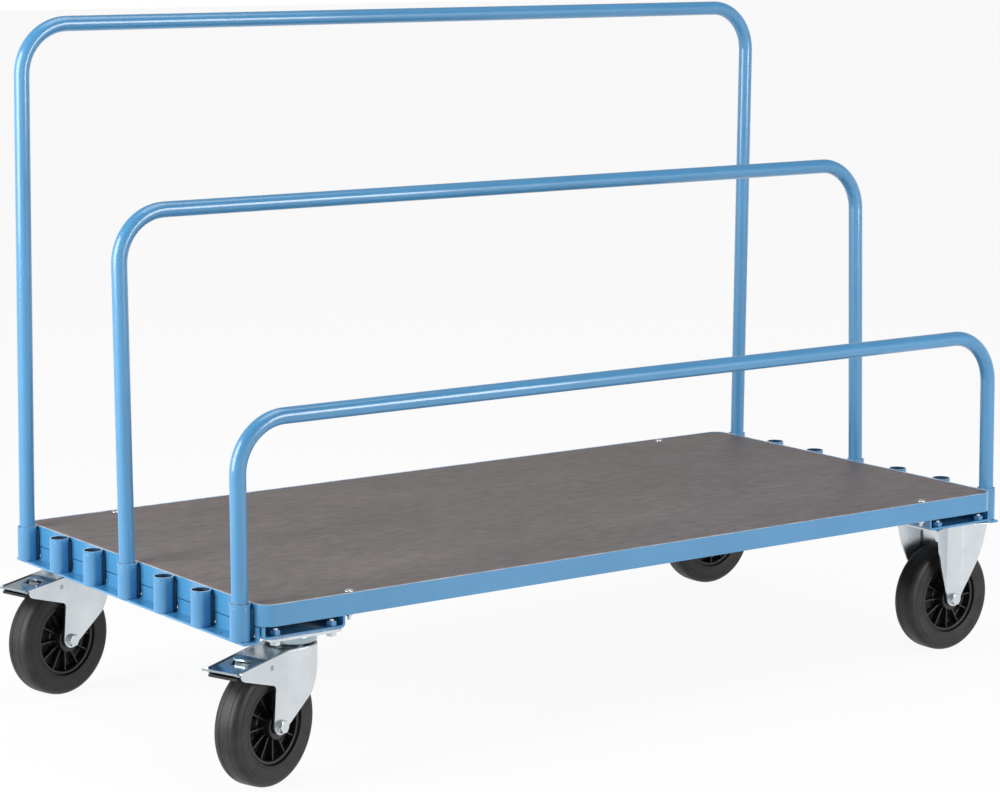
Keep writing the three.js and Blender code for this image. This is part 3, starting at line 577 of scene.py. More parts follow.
# Pale blue paint on the upward faces along an upper edge: a painted highlight
PAINTED_HIGHLIGHT = mottled(
    "painted_highlight_blue",
    {"Coat Weight": 0.3, "Coat Roughness": 0.2},
    (45.0, 5.0),
    [(0.36, (0.13, 0.36, 0.6)), (0.62, (0.6, 0.68, 0.78))],
    (0.3, 0.42),
    ((700.0, 2.0), 0.12, 0.0004),
)
# Dull dark blue paint: painted shade on the welds in the grooves beside the sockets and inside the sockets
PAINTED_SHADE_BLUE = mottled(
    "painted_shade_blue",
    {"Specular IOR Level": 0.3},
    (300.0, 4.0),
    [(0.35, (0.006, 0.03, 0.068)), (0.7, (0.03, 0.105, 0.2))],
    (0.42, 0.62),
    ((900.0, 2.0), 0.3, 0.0006),
)
ZINC = mottled(
    "bright_zinc",
    {"Metallic": 1.0},
    (22.0, 4.0),
    [(0.3, (0.6, 0.645, 0.68)), (0.7, (0.67, 0.71, 0.735))],
    (0.2, 0.28, 70.0),
    ((60.0, 2.0), 0.03, 0.0008),
    ((1500.0,), 0.02, 0.0002),
)
# Darker, bluer and smoother zinc: a painted blue reflection on the pedals and painted shade under the swivel
# plates
PAINTED_SHADE_ZINC = mottled(
    "zinc_painted_shade_and_reflection",
    {"Metallic": 1.0},
    (30.0, 4.0),
    [(0.3, (0.33, 0.4, 0.45)), (0.7, (0.42, 0.49, 0.53))],
    (0.12, 0.2, 80.0),
    ((50.0, 2.0), 0.04, 0.0008),
)
RUBBER = mottled(
    "tyre_rubber",
    {"Specular IOR Level": 0.34},
    (38.0, 4.0),
    [(0.34, (0.012, 0.0115, 0.0115)), (0.68, (0.03, 0.0285, 0.0285))],
    (0.42, 0.56),
    ((700.0, 2.0), 0.14, 0.0004),
)
PLASTIC = mottled(
    "moulded_plastic",
    {"Specular IOR Level": 0.5},
    (55.0,),
    [(0.3, (0.007, 0.007, 0.008)), (0.7, (0.013, 0.013, 0.015))],
    (0.24, 0.38),
    ((520.0, 2.0), 0.1, 0.0004),
)


def dressed(piece, material, node=None, body=None):
    """Gives a piece its finish and its body, and puts it in the place of a node."""
    piece.data.materials.clear()
    piece.data.materials.append(material)
    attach(piece, body or BODY_OF[node])
    if node:
        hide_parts(node)
    return piece


def faced(piece, material, chosen):
    """Gives a second finish to the chosen faces of a piece."""
    piece.data.materials.append(material)
    for face in piece.data.polygons:
        if chosen(face):
            face.material_index = len(piece.data.materials) - 1
    return piece


# Hexagon heads and nuts

def hexagon(across):
    corner = across / math.sqrt(3)
    return [(corner * math.cos(turn), corner * math.sin(turn))
            for turn in (step * math.pi / 3 for step in range(6))]


def hex_head(name, across, bottom, top):
    """A hexagon with its corners turned off at both ends."""
    flat = across * 0.485
    corner = across * 0.58
    slope = (corner - flat) * math.tan(math.radians(30))
    waist = [
        (0, bottom),
        (flat, bottom),
        (corner, bottom + slope),
        (corner, top - slope),
        (flat, top),
        (0, top),
    ]
    return common(upright(name, hexagon(across), bottom, top), turned("waist", waist, steps=48))


# Edge frame, deck and its bolts

def deck_bolt_places():
    places = {}
    for corner in ("front_left", "front_right", "rear_left", "rear_right"):
        low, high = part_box(f"{corner}_deck_bolt")
        places[corner] = (low + high) / 2
    return places


def frame_plan(inset, corner):
    """Half the frame's outline, seen from above, with a wall or flange as wide as the inset."""
    x, y, seam = FRAME_X, FRAME_Y, -FRAME_SEAM / 2
    r = FRAME_CORNER
    outer = arc(-x + r, -y + r, r, 180, 270) + arc(x - r, -y + r, r, 270, 360)
    x -= inset
    y -= inset
    inner = [(x, -y), (-x, -y)]
    if corner:
        inner = arc(x - corner, -y + corner, corner, 360, 270)
        inner += arc(-x + corner, -y + corner, corner, 270, 180)
    return [(-x - inset, seam), *outer, (x + inset, seam), (x, seam), *inner, (-x, seam)]


def edge_frame():
    wall = frame_plan(FRAME_SHEET, FRAME_CORNER - FRAME_SHEET)
    half = upright("frame_half", wall, FRAME_BOTTOM, FRAME_TOP)
    flange_top = FRAME_BOTTOM + FRAME_SHEET
    joined(half, upright("flange", frame_plan(FRAME_FLANGE, 0), FRAME_BOTTOM, flange_top))
    for place in deck_bolt_places().values():
        hole = rod(DECK_BOLT_RADIUS + PLAY, FRAME_BOTTOM - PAST, flange_top + PAST)
        cut(half, moved(hole, place.x - MIDDLE.x, place.y - MIDDLE.y, 0))
    softened(half, 0.0008)
    for name, node, place in (
        ("front_edge_angle", "front_edge_frame", ON_DECK),
        ("rear_edge_angle", "rear_edge_frame", HALF_TURN),
    ):
        angle = dressed(copy_of(half, name, place), BLUE, node)
        # The upward faces along the frame's upper edge get the pale painted highlight.
        faced(angle, PAINTED_HIGHLIGHT, lambda face: face.normal.z > 0.25 and face.center.z > FRAME_TOP - HIGHLIGHT_DEPTH)
    cleared(half)


def deck():
    plan = rectangle(deck_high.x - deck_low.x, deck_high.y - deck_low.y, FRAME_CORNER - FRAME_SHEET)
    board = bevelled(upright("deck_panel", plan, deck_low.z, deck_high.z), DECK_CHAMFER, 1)
    board.data.transform(ON_DECK)
    for place in deck_bolt_places().values():
        shank = rod(DECK_BOLT_RADIUS + PLAY, deck_low.z - PAST, deck_high.z + PAST)
        seat = rod(SPOT_FACE_RADIUS, deck_high.z - SPOT_FACE_DEPTH, deck_high.z + PAST, steps=40)
        cut(board, moved(shank, place.x, place.y, 0), moved(seat, place.x, place.y, 0))
    smoothed(board)
    dressed(board, FILM, "deck_board")
    faced(board, PLY_EDGE, lambda face: abs(face.normal.z) < 0.95)


def deck_bolts():
    seat = deck_high.z - SPOT_FACE_DEPTH + SEAT
    tip = seat - DECK_BOLT_LENGTH
    rim_top = seat + DECK_BOLT_HEAD_RIM
    rise = DECK_BOLT_HEAD_HEIGHT - DECK_BOLT_HEAD_RIM
    dome = [(DECK_BOLT_HEAD_RADIUS * math.cos(turn), rim_top + rise * math.sin(turn))
            for turn in (step * math.pi / 16 for step in range(8))]
    section = [
        (0, tip),
        (DECK_BOLT_RADIUS - DECK_BOLT_TIP, tip),
        (DECK_BOLT_RADIUS, tip + DECK_BOLT_TIP),
        (DECK_BOLT_RADIUS, seat),
        (DECK_BOLT_HEAD_RADIUS, seat),
        *dome,
        (0, seat + DECK_BOLT_HEAD_HEIGHT),
    ]
    bolt = smoothed(turned("deck_bolt", section))
    washer = [(0.0034, -0.0016), (0.006, -0.0016), (0.006, 0), (0.0034, 0)]
    nut = cut(hex_head("deck_nut", DECK_NUT_HEX, -0.0066, -0.0015), rod(0.0032, -0.008, 0.001))
    joined(nut, turned("washer", washer))
    softened(nut, 0.00025, 1)
    moved(nut, 0, 0, FRAME_BOTTOM - 0.0001)
    for corner, place in deck_bolt_places().items():
        stand = Matrix.Translation((place.x, place.y, 0))
        dressed(copy_of(bolt, f"{corner}_deck_screw", stand), ZINC, f"{corner}_deck_bolt")
        dressed(copy_of(nut, f"{corner}_deck_nut", stand), ZINC, body="chassis")
    cleared(bolt, nut)


# Socket rows

def socket_middle(end, number):
    low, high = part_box(f"{end}_socket_{number}")
    return (low + high) / 2


def socket_rails():
    """The left rail is bent from sheet and notched behind each socket; the right one is its copy."""
    back = MIDDLE.x - rail_high.x
    face = back + RAIL_SHEET
    lip = MIDDLE.x - rail_low.x
    bottom, top = rail_low.z, rail_high.z
    ledge = bottom + RAIL_SHEET
    bend = face + RAIL_BEND
    turn = ledge + RAIL_BEND
    section = [
        (lip, bottom),
        *arc(bend, turn, RAIL_BEND + RAIL_SHEET, 270, 180, 8),
        (back, top),
        (face, top),
        *arc(bend, turn, RAIL_BEND, 180, 270, 8),
        (lip, ledge),
    ]
    half = (rail_high.y - rail_low.y) / 2
    rail = crosswise("rail", [(-x, z) for x, z in section], -half - PAST, half + PAST)
    plan = mirrored([(-lip, -half, RAIL_CORNER), (2 * PAST - back, -half, 0)])
    common(rail, upright("rail_plan", rounded(plan), bottom - PAST, top + PAST))
    middles = [socket_middle("left", number) - MIDDLE for number in range(1, SOCKET_COUNT + 1)]
    for middle in middles:
        notch = rounded([
            (middle.y - RAIL_NOTCH_WIDTH / 2, turn, 0.001),
            (middle.y + RAIL_NOTCH_WIDTH / 2, turn, 0.001),
            (middle.y + RAIL_NOTCH_WIDTH / 2, ledge + RAIL_NOTCH_HEIGHT, 0.002),
            (middle.y - RAIL_NOTCH_WIDTH / 2, ledge + RAIL_NOTCH_HEIGHT, 0.002),
        ])
        punch = outline("punch", [(-bend - PLAY, y, z) for y, z in notch])
        cut(rail, pulled(punch, (bend - back + PLAY + PAST, 0, 0)))
    for first in (0, SOCKET_COUNT - 2):
        drain = rod(DRAIN_RADIUS, bottom - PAST, ledge + PAST)
        cut(rail, moved(drain, -(face + lip) / 2, (middles[first].y + middles[first + 1].y) / 2, 0))
    softened(rail, 0.0006)
    dressed(copy_of(rail, "left_socket_angle", ON_DECK), BLUE, "left_socket_rail")
    dressed(copy_of(rail, "right_socket_angle", HALF_TURN), BLUE, "right_socket_rail")
    cleared(rail)


def weld_bead(length):
    """One rippled bead, built up step by step between rounded ends."""
    bead = circle("weld_bead", 12, "NGON", WELD_RADIUS * WELD_END)
    steps = round(length / WELD_STEP)
    with edit_mode(bead):
        width = WELD_END
        for step in range(1, steps + 1):
            extrude(0, 0, WELD_STEP)
            ripple = 1 + 0.07 * math.sin(step * 1.9)
            wanted = ripple * min(1, WELD_END + 0.4 * min(step, steps - step))
            ratio = wanted / width
            bpy.ops.transform.resize(value=(ratio, ratio, 1), center_override=(0, 0, 0))
            width = wanted
        close_up()
    return smoothed(bead, 70)


def sockets():
    low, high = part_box("left_socket_1")
    outer = (high.x - low.x) / 2
    inner = outer - SOCKET_WALL
    bottom, top = low.z, high.z
    section = [
        (inner, bottom),
        (outer, bottom),
        (outer, top - 0.0056),
        (outer - SOCKET_GROOVE, top - 0.0052),
        (outer - SOCKET_GROOVE, top - 0.0048),
        (outer, top - 0.0044),
        (outer, top),
        (inner, top),
    ]
    tube = softened(turned("socket_tube", section, steps=48), 0.0006, 3)
    ledge_top = rail_low.z + RAIL_SHEET
    bead = weld_bead(FRAME_TOP - ledge_top - WELD_TOP)
    away = FRAME_X + WELD_RADIUS - WELD_SINK
    for end, side in (("left", 1), ("right", -1)):
        beads = []
        for number in range(1, SOCKET_COUNT + 1):
            middle = socket_middle(end, number)
            stand = Matrix.Translation((middle.x, middle.y, 0))
            node = f"{end}_socket_{number}"
            stood = dressed(copy_of(tube, f"{end}_socket_tube_{number}", stand), BLUE, node)
            # The socket's upper rim gets the pale painted highlight.
            faced(stood, PAINTED_HIGHLIGHT, lambda face: face.normal.z > 0.3 and face.center.z > top - HIGHLIGHT_DEPTH)
            # The socket's bore gets dark painted shade.
            faced(stood, PAINTED_SHADE_BLUE, lambda face: (face.center.xy - middle.xy).length < inner + 0.0002)
            reach = outer + WELD_RADIUS - WELD_SINK
            across = math.sqrt(reach ** 2 - (abs(middle.x - MIDDLE.x) - away) ** 2)
            for y in (middle.y - across, middle.y + across):
                place = (MIDDLE.x - side * away, y, ledge_top)
                beads.append(copy_of(bead, f"{end}_socket_welds", Matrix.Translation(place)))
        pick(beads[0])
        for other in beads:
            other.select_set(True)
        bpy.ops.object.join()
        # The weld beads get dark painted shade.
        dressed(beads[0], PAINTED_SHADE_BLUE, body="chassis")
    cleared(tube, bead)


# Hoops

def hoop(name, number):
    left = socket_middle("left", number)
    right = socket_middle("right", number)
    low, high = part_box(name)
    _, lean_y, lean_z = JOINTS[f"{name}_lift"]["axis"]
    lean = math.atan2(lean_y, lean_z)
    half = (right.x - left.x) / 2
    foot = low.z - left.z + TUBE_RADIUS * abs(math.sin(lean))
    shoulder = high.z - left.z - TUBE_RADIUS - HOOP_BEND - SEAT
    inset = half - HOOP_BEND
    tube = circle(f"{name}_tube", TUBE_SIDES, radius=TUBE_RADIUS, place=(-half, 0, foot))
    bpy.ops.object.transform_apply(location=True)
    with edit_mode(tube):
        extrude(0, 0, shoulder - foot)
        for side, move in ((-inset, (2 * inset, 0, 0)), (inset, (0, 0, foot - shoulder))):
            bpy.ops.mesh.spin(
                steps=HOOP_BEND_STEPS, angle=-math.pi / 2, center=(side, 0, shoulder), axis=(0, 1, 0))
            extrude(*move)
        bpy.ops.mesh.select_all(action="SELECT")
        bpy.ops.mesh.fill_holes(sides=0)
        close_up()
        bpy.ops.mesh.select_all(action="DESELECT")
        bpy.ops.mesh.select_face_by_sides(number=TUBE_SIDES)
        bpy.ops.mesh.delete(type="ONLY_FACE")
    apply(tube, "SOLIDIFY", thickness=TUBE_WALL, offset=-1)
    smoothed(tube)
    stand = Matrix.Translation(((left.x + right.x) / 2, left.y, left.z))
    tube.data.transform(stand @ Matrix.Rotation(-lean, 4, "X"))
    dressed(tube, BLUE, name)


# Where the casters stand

def wheel_turn(caster):
    x, y, _ = JOINTS[f"{caster}_wheel_spin"]["axis"]
    return math.atan2(-x, y)


def caster_places():
    """Where the king bolts, and the middles of the fixed casters, stand on the floor plan."""
    places = {}
    for caster in SWIVEL_CASTERS:
        places[caster] = JOINTS[f"{caster}_swivel_turn"]["pos_m"][:2]
    for caster in FIXED_CASTERS:
        places[caster] = JOINTS[f"{caster}_wheel_spin"]["pos_m"][:2]
    return places


def caster_stand(caster, turning=True):
    stand = Matrix.Translation((*caster_places()[caster], 0))
    if turning:
        stand = stand @ Matrix.Rotation(wheel_turn(caster), 4, "Z")
    return stand


def plate_holes():
    return [(x, y) for x in (-PLATE_HOLE_X, PLATE_HOLE_X) for y in (-PLATE_HOLE_Y, PLATE_HOLE_Y)]


def drilled(plate):
    for x, y in plate_holes():
        cut(plate, moved(rod(PLATE_HOLE_RADIUS, PLATE_BOTTOM - PAST, PLATE_TOP + PAST), x, y, 0))
    return plate


# Caster channels and the bolts in them
def caster_channels():
    half = (channel_high.x - channel_low.x) / 2
    length = (channel_high.y - channel_low.y) / 2
    bottom, top = channel_low.z, channel_high.z
    inner = half - CHANNEL_SHEET
    outer_bend = CHANNEL_BEND + CHANNEL_SHEET
    x = half - outer_bend
    z = bottom + outer_bend
    section = [
        (half, top),
        (inner, top),
        *arc(x, z, CHANNEL_BEND, 360, 270, 8),
        *arc(-x, z, CHANNEL_BEND, 270, 180, 8),
        (-inner, top),
        (-half, top),
        *arc(-x, z, outer_bend, 180, 270, 8),
        *arc(x, z, outer_bend, 270, 360, 8),
    ]
    channel = crosswise("channel", section, -length, length)
    king_x, king_y, _ = JOINTS["front_left_swivel_turn"]["pos_m"]
    offset = king_x - (channel_low.x + channel_high.x) / 2
    for caster in (king_y - MIDDLE.y, MIDDLE.y - king_y):
        for hole_x, hole_y in plate_holes():
            hole = rod(PLATE_HOLE_RADIUS, bottom - PAST, bottom + CHANNEL_SHEET + PAST)
            cut(channel, moved(hole, offset + hole_x, caster + hole_y, 0))
    softened(channel, 0.0007)
    for end in ("left", "right"):
        low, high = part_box(f"{end}_caster_channel")
        stand = Matrix.Translation(((low.x + high.x) / 2, (low.y + high.y) / 2, 0))
        dressed(copy_of(channel, f"{end}_caster_crossbar", stand), BLUE, f"{end}_caster_channel")
    cleared(channel)


def caster_bolts():
    web = channel_low.z + CHANNEL_SHEET
    tip = web + CASTER_BOLT_RISE
    radius = CASTER_BOLT_RADIUS
    shank = shank_section(radius, PLATE_BOTTOM, tip, CASTER_BOLT_TIP)
    stud = smoothed(turned("stud", shank, steps=20))
    bolt = turned("bolt", [(0, PLATE_BOTTOM - 0.002), *shank[1:]], steps=20)
    washer = rod(0.0095, PLATE_BOTTOM - 0.0021, PLATE_BOTTOM - 0.0001, steps=32)
    joined(bolt, washer, hex_head("head", CASTER_HEX, PLATE_BOTTOM - 0.0083, PLATE_BOTTOM - 0.002))
    softened(bolt, 0.0003, 1)
    nut = hex_head("nut", CASTER_HEX, web + 0.0001, web + 0.0082)
    softened(cut(nut, rod(radius + 0.0001, web - 0.01, web + 0.02)), 0.0003, 1)
    for caster, (x, y) in caster_places().items():
        model = bolt if caster in SWIVEL_CASTERS else stud
        for number, (hole_x, hole_y) in enumerate(plate_holes(), 1):
            stand = Matrix.Translation((x + hole_x, y + hole_y, 0))
            dressed(copy_of(model, f"{caster}_plate_bolt_{number}", stand), ZINC, body="chassis")
            dressed(copy_of(nut, f"{caster}_plate_nut_{number}", stand), BLUE, body="chassis")
    cleared(stud, bolt, nut)


# Swivel casters


def swivel_plates():
    plan = rectangle(PLATE_LENGTH, PLATE_WIDTH, PLATE_CORNER)
    plate = drilled(upright("plate", plan, PLATE_BOTTOM, PLATE_TOP))
    low = PLATE_BOTTOM - SKIRT_DEPTH
    roll = SKIRT_RADIUS - SKIRT_ROLL
    skirt = [
        (SKIRT_INNER, PLATE_BOTTOM + PAST),
        (SKIRT_INNER, low + 0.001),
        (SKIRT_WAIST, low),
        (SKIRT_WAIST + 0.001, low),
        *arc(roll, low + SKIRT_ROLL, SKIRT_ROLL, -70, 0, 6),
        *arc(roll, PLATE_BOTTOM - 0.0046, SKIRT_ROLL, 0, 80, 6),
        (SKIRT_WAIST, PLATE_BOTTOM - 0.0012),
        (SKIRT_WAIST, PLATE_BOTTOM + PAST),
    ]
    joined(plate, turned("skirt", skirt, steps=72))
    cut(plate, rod(KING_HOLE, PLATE_BOTTOM - 0.01, PLATE_TOP + PAST))
    softened(plate, 0.0005)
    bottom = CROWN_Z + SEAT
    groove = RACE_RADIUS - 0.0012
    race = [
        (RACE_INNER, bottom),
        (RACE_RADIUS - 0.0008, bottom),
        (RACE_RADIUS, bottom + 0.0008),
        (RACE_RADIUS, bottom + 0.0022),
        (groove, bottom + 0.0028),
        (groove, bottom + 0.0034),
        (RACE_RADIUS, bottom + 0.004),
        (RACE_RADIUS, bottom + RACE_HEIGHT),
        (RACE_INNER, bottom + RACE_HEIGHT),
    ]
    ring = smoothed(turned("race", race, steps=56))
    for caster in SWIVEL_CASTERS:
        stand = caster_stand(caster, turning=False)
        mounted = copy_of(plate, f"{caster}_mounting_plate", stand)
        dressed(mounted, ZINC, f"{caster}_top_plate")
        # The faces under the plate and the race ring get the darker zinc as painted shade.
        faced(mounted, PAINTED_SHADE_ZINC, lambda face: face.center.z < PLATE_BOTTOM - SEAT)
        dressed(copy_of(ring, f"{caster}_race_ring", stand), PAINTED_SHADE_ZINC, f"{caster}_ball_race")
        frame["nodes"][f"{caster}_king_bolt"].material_slots[0].material = ZINC
    cleared(plate, ring)


def arm_top(behind):
    """Height of the arms' upper edge, at a distance behind the axle."""
    return CROWN_Z - (behind + ARM_START) * ARM_SLOPE


def fork_side():
    x = -TRAIL
    tip = arm_top(ARM_REACH)
    foot = arc(x, FOOT_Z, FOOT_RADIUS, 180, 315, 20)
    return rounded([
        *plain(foot),
        (CROWN_RADIUS - CHEEK_SETBACK, CROWN_Z - CHEEK_DEPTH, 0.03),
        (CROWN_RADIUS - BROW_SLANT, CROWN_Z - BROW_DEPTH, 0.01),
        (CROWN_RADIUS + PAST, CROWN_Z, 0),
        (x + ARM_START, CROWN_Z, 0),
        (x - ARM_REACH, tip, 0.0025),
        (x - ARM_REACH + ARM_TIP_SLANT, tip - ARM_TIP_DEPTH, 0.004),
        (x - LEG_BACK, CROWN_Z - ARM_ROOT_DEPTH, 0.008),
    ])


def fork_touch(half, radius):
    """Angle from +X at which a side that spreads from its bend touches the round crown."""
    bend = SIDE_BEND - TRAIL
    return math.atan2(half, bend) - math.acos(radius / math.hypot(bend, half))


def fork_plan(half, radius):
    back = -TRAIL - ARM_REACH - PAST
    bend = SIDE_BEND - TRAIL
    touch = math.degrees(fork_touch(half, radius))
    crown = arc(0, 0, radius, -touch, touch, 48)
    return [(back, -half), (bend, -half), *crown, (bend, half), (back, half)]


def rounded_over(piece, on_fold, width):
    """Rounds the edges that lie on a fold."""
    with edit_mode(piece):
        close_up()
        bpy.ops.mesh.select_all(action="DESELECT")
        bpy.ops.mesh.select_mode(type="EDGE")
    mesh = piece.data
    for edge in mesh.edges:
        start, end = (mesh.vertices[index].co for index in edge.vertices)
        edge.select = on_fold(start) and on_fold(end) and on_fold((start + end) / 2)
    pick(piece)
    bpy.ops.object.mode_set(mode="EDIT")
    bpy.ops.mesh.bevel(offset=width, offset_type="OFFSET", segments=4)
    bpy.ops.mesh.select_mode(type="VERT")
    bpy.ops.object.mode_set(mode="OBJECT")


def round_over_fold(fork):
    """Rounds the fold between the fork's roof and its sides and crown."""
    bend = SIDE_BEND - TRAIL
    touch = fork_touch(FORK_OUTER, CROWN_RADIUS)
    touch_x = CROWN_RADIUS * math.cos(touch)
    spread_y = CROWN_RADIUS * math.sin(touch) - FORK_OUTER

    def on_fold(co):
        behind = -TRAIL - co.x
        top = CROWN_Z if behind < -ARM_START else arm_top(behind)
        if co.x > touch_x:
            off = math.hypot(co.x, co.y) - CROWN_RADIUS
        else:
            off = abs(co.y) - FORK_OUTER - spread_y * max(co.x - bend, 0) / (touch_x - bend)
        return abs(co.z - top) < 1e-4 and abs(off) < 1e-4

    rounded_over(fork, on_fold, FORK_FOLD)


def swivel_forks():
    """A pressed fork: two sides and a round crown under a roof that carries the king bolt."""
    x = -TRAIL
    wide = CROWN_RADIUS + PAST
    fork = upright("fork", fork_plan(FORK_OUTER, CROWN_RADIUS), FORK_LOW, CROWN_Z + PAST)
    common(fork, crosswise("side", fork_side(), -wide, wide))
    round_over_fold(fork)
    back = x - ARM_REACH - 2 * PAST
    under = CROWN_Z - FORK_SHEET
    inside = [
        (CROWN_RADIUS, FORK_LOW - PAST),
        (CROWN_RADIUS, under),
        (x + ARM_START, under),
        (x - ROOF_REACH, arm_top(ROOF_REACH) - FORK_SHEET),
        (x - ROOF_REACH, CROWN_Z + PAST),
        (back, CROWN_Z + PAST),
        (back, FORK_LOW - PAST),
    ]
    hollow_plan = fork_plan(FORK_INNER, CROWN_RADIUS - FORK_SHEET)
    hollow = upright("hollow", hollow_plan, FORK_LOW - 2 * PAST, CROWN_Z + 2 * PAST)
    cut(
        fork,
        common(hollow, crosswise("inside", inside, -wide, wide)),
        rod(KING_HOLE, CROWN_Z - 0.006, CROWN_Z + PAST, steps=32),
        moved(rod(AXLE_RADIUS + PLAY, -wide, wide, "Y"), x, 0, AXLE_Z),
        moved(rod(PIVOT_RADIUS + PLAY, -wide, wide, "Y"), x - PIVOT_BACK, 0, PIVOT_Z),
    )
    softened(fork, 0.0006)
    for caster in SWIVEL_CASTERS:
        dressed(copy_of(fork, f"{caster}_fork_sheet", caster_stand(caster)), ZINC, f"{caster}_fork")
    cleared(fork)


def brake_pedals():
    """A pressed plate between the arms, with a window, a raised tab and two lips."""
    x = -TRAIL
    pivot = x - PIVOT_BACK

    def top(behind):
        return arm_top(behind) - PEDAL_INSET

    def middle_of(behind):
        return x - behind, top(behind) - PEDAL_SHEET / 2

    def sheet(name, half, *line):
        """Sheet along a line of distances behind the axle and rises above the plate."""
        upper = [(x - behind, top(min(behind, PEDAL_OUTER)) + rise) for behind, rise in line]
        lower = [(along, z - PEDAL_SHEET) for along, z in reversed(upper)]
        return crosswise(name, upper + lower, -half, half)

    def stamp(name, *corners):
        """A cutter through the sheet, from the corners on one side."""
        plan = mirrored([(x - behind, across, radius) for behind, across, radius in corners])
        return upright(name, rounded(plan), PEDAL_LOW, PEDAL_HIGH)

    plate = sheet(
        "pedal",
        PEDAL_LIP_HALF + PAST,
        (PEDAL_INNER, 0.0013),
        (PEDAL_INNER + 0.004, 0.001),
        (PEDAL_INNER + 0.009, 0.0002),
        (PEDAL_INNER + 0.013, 0),
        (PEDAL_OUTER - 0.003, 0),
        (PEDAL_OUTER, 0.0001),
        (PEDAL_OUTER + 0.004, 0.0006),
        (PEDAL_OUTER + 0.008, 0.002),
        (PEDAL_LIP, PEDAL_LIP_RISE),
    )
    common(plate, stamp(
        "blank",
        (PEDAL_INNER, -PEDAL_HALF, 0.002),
        (PEDAL_OUTER, -PEDAL_HALF, 0),
        (PEDAL_OUTER, -PEDAL_LIP_HALF, 0.0015),
        (PEDAL_LIP, -PEDAL_LIP_HALF, 0.007),
    ))
    window = stamp("window", (WINDOW_END, -WINDOW_HALF, 0.005), (WINDOW_START, -WINDOW_HALF, 0.005))
    cut(plate, window)
    tab = sheet(
        "tab", TAB_HALF + PAST, (TAB_START, 0), (0.046, 0.0005), (0.052, 0.003), (TAB_END, TAB_RISE))
    common(tab, stamp("tab_plan", (TAB_START - 0.0005, -TAB_HALF, 0), (TAB_END, -TAB_HALF, 0.003)))
    release = sheet("release", RELEASE_HALF, (0.0675, -0.0015), (0.084, -0.0042), (PEDAL_OUTER, -0.007))
    tread = [(x - behind, AXLE_Z + math.sqrt(WHEEL_RADIUS ** 2 - behind ** 2) + SHOE_GAP)
             for behind in (SHOE_END, SHOE_START)]
    shoe = crosswise(
        "shoe", [middle_of(SHOE_START), middle_of(SHOE_END), *tread], -SHOE_HALF, SHOE_HALF)
    joined(plate, tab, release, shoe)
    ear = rounded([
        (pivot + EAR_HALF, PIVOT_Z - EAR_HALF, 0.005),
        (pivot + EAR_HALF, PIVOT_Z + EAR_HALF, 0.005),
        (*middle_of(0.034), 0),
        (*middle_of(0.046), 0),
        (pivot - EAR_HALF, PIVOT_Z - EAR_HALF, 0.005),
    ])
    for side in (-1, 1):
        inner, outer = sorted((side * PEDAL_HALF, side * (PEDAL_HALF - EAR_SHEET)))
        joined(plate, crosswise("ear", ear, inner, outer))
        near, far = sorted((side * (PEDAL_HALF - 0.001), side * (FORK_OUTER + SEAT)))
        joined(plate, moved(rod(PIVOT_RADIUS, near, far, "Y"), pivot, 0, PIVOT_Z))
    softened(plate, 0.0005)
    end = top(PEDAL_OUTER)
    edging = crosswise("edging", rounded([
        (x - PEDAL_OUTER + 0.003, end - 0.0064, 0.0004),
        (x - PEDAL_OUTER - 0.0012, end - 0.0066, 0.0009),
        (x - PEDAL_OUTER - 0.0012, end - 0.0112, 0.0009),
        (x - PEDAL_OUTER + 0.003, end - 0.0108, 0.0004),
    ]), -EDGING_HALF, EDGING_HALF)
    softened(edging, 0.0005)
    for caster in SWIVEL_CASTERS:
        stand = caster_stand(caster)
        # The pedal gets the darker, bluer zinc: a painted reflection of the blue steel above it.
        dressed(copy_of(plate, f"{caster}_pedal_plate", stand), PAINTED_SHADE_ZINC, f"{caster}_brake_pedal")
        dressed(copy_of(edging, f"{caster}_pedal_edging", stand), RUBBER, body=f"{caster}_pedal")
    cleared(plate, edging)


# Fixed casters


def fixed_plan(half, reach, bend):
    """A fixed caster seen from above: flat in the middle of each side, with flared wings."""
    panel = FIXED_PANEL / 2
    wide = half + (reach - panel) * math.tan(FIXED_FLARE)
    return rounded(mirrored([
        (-reach, -wide, 0),
        (-panel, -half, bend),
        (panel, -half, bend),
        (reach, -wide, 0),
    ]))


def fixed_forks():
    """Two legs with flared wings, folded down from the mounting plate."""
    reach = PLATE_LENGTH / 2
    half = [
        *[(across, AXLE_Z + rise, FIXED_LEG_CURVE) for across, rise in FIXED_LEG],
        (FIXED_LEG_TOP, PLATE_BOTTOM, 0),
        (reach + PAST, PLATE_BOTTOM, 0),
        (reach + PAST, PLATE_TOP + PAST, 0),
    ]
    face = rounded([
        *plain(arc(0, FOOT_Z, FOOT_RADIUS, 180, 360, 28)),
        *half,
        *[(-x, z, radius) for x, z, radius in reversed(half)],
    ])
    fork = upright("fixed_fork", fixed_plan(FORK_OUTER, reach, FIXED_BEND), FORK_LOW, PLATE_TOP)
    common(fork, crosswise("face", face, -FIXED_WIDE, FIXED_WIDE))

    def on_fold(co):
        return abs(co.z - PLATE_TOP) < 1e-5 and abs(co.y) > FORK_OUTER - 1e-4

    rounded_over(fork, on_fold, FIXED_FOLD)
    hollow_plan = fixed_plan(FORK_INNER, reach + 2 * PAST, FIXED_BEND + FORK_SHEET)
    cut(
        fork,
        upright("hollow", hollow_plan, FORK_LOW - PAST, PLATE_BOTTOM),
        moved(rod(AXLE_RADIUS + PLAY, -0.04, 0.04, "Y"), 0, 0, AXLE_Z),
    )
    softened(drilled(fork), 0.0006)
    for caster in FIXED_CASTERS:
        dressed(copy_of(fork, f"{caster}_fork_sheet", caster_stand(caster)), ZINC, f"{caster}_fork")
    cleared(fork)


# Wheels, made about their own centre with the axle along Y

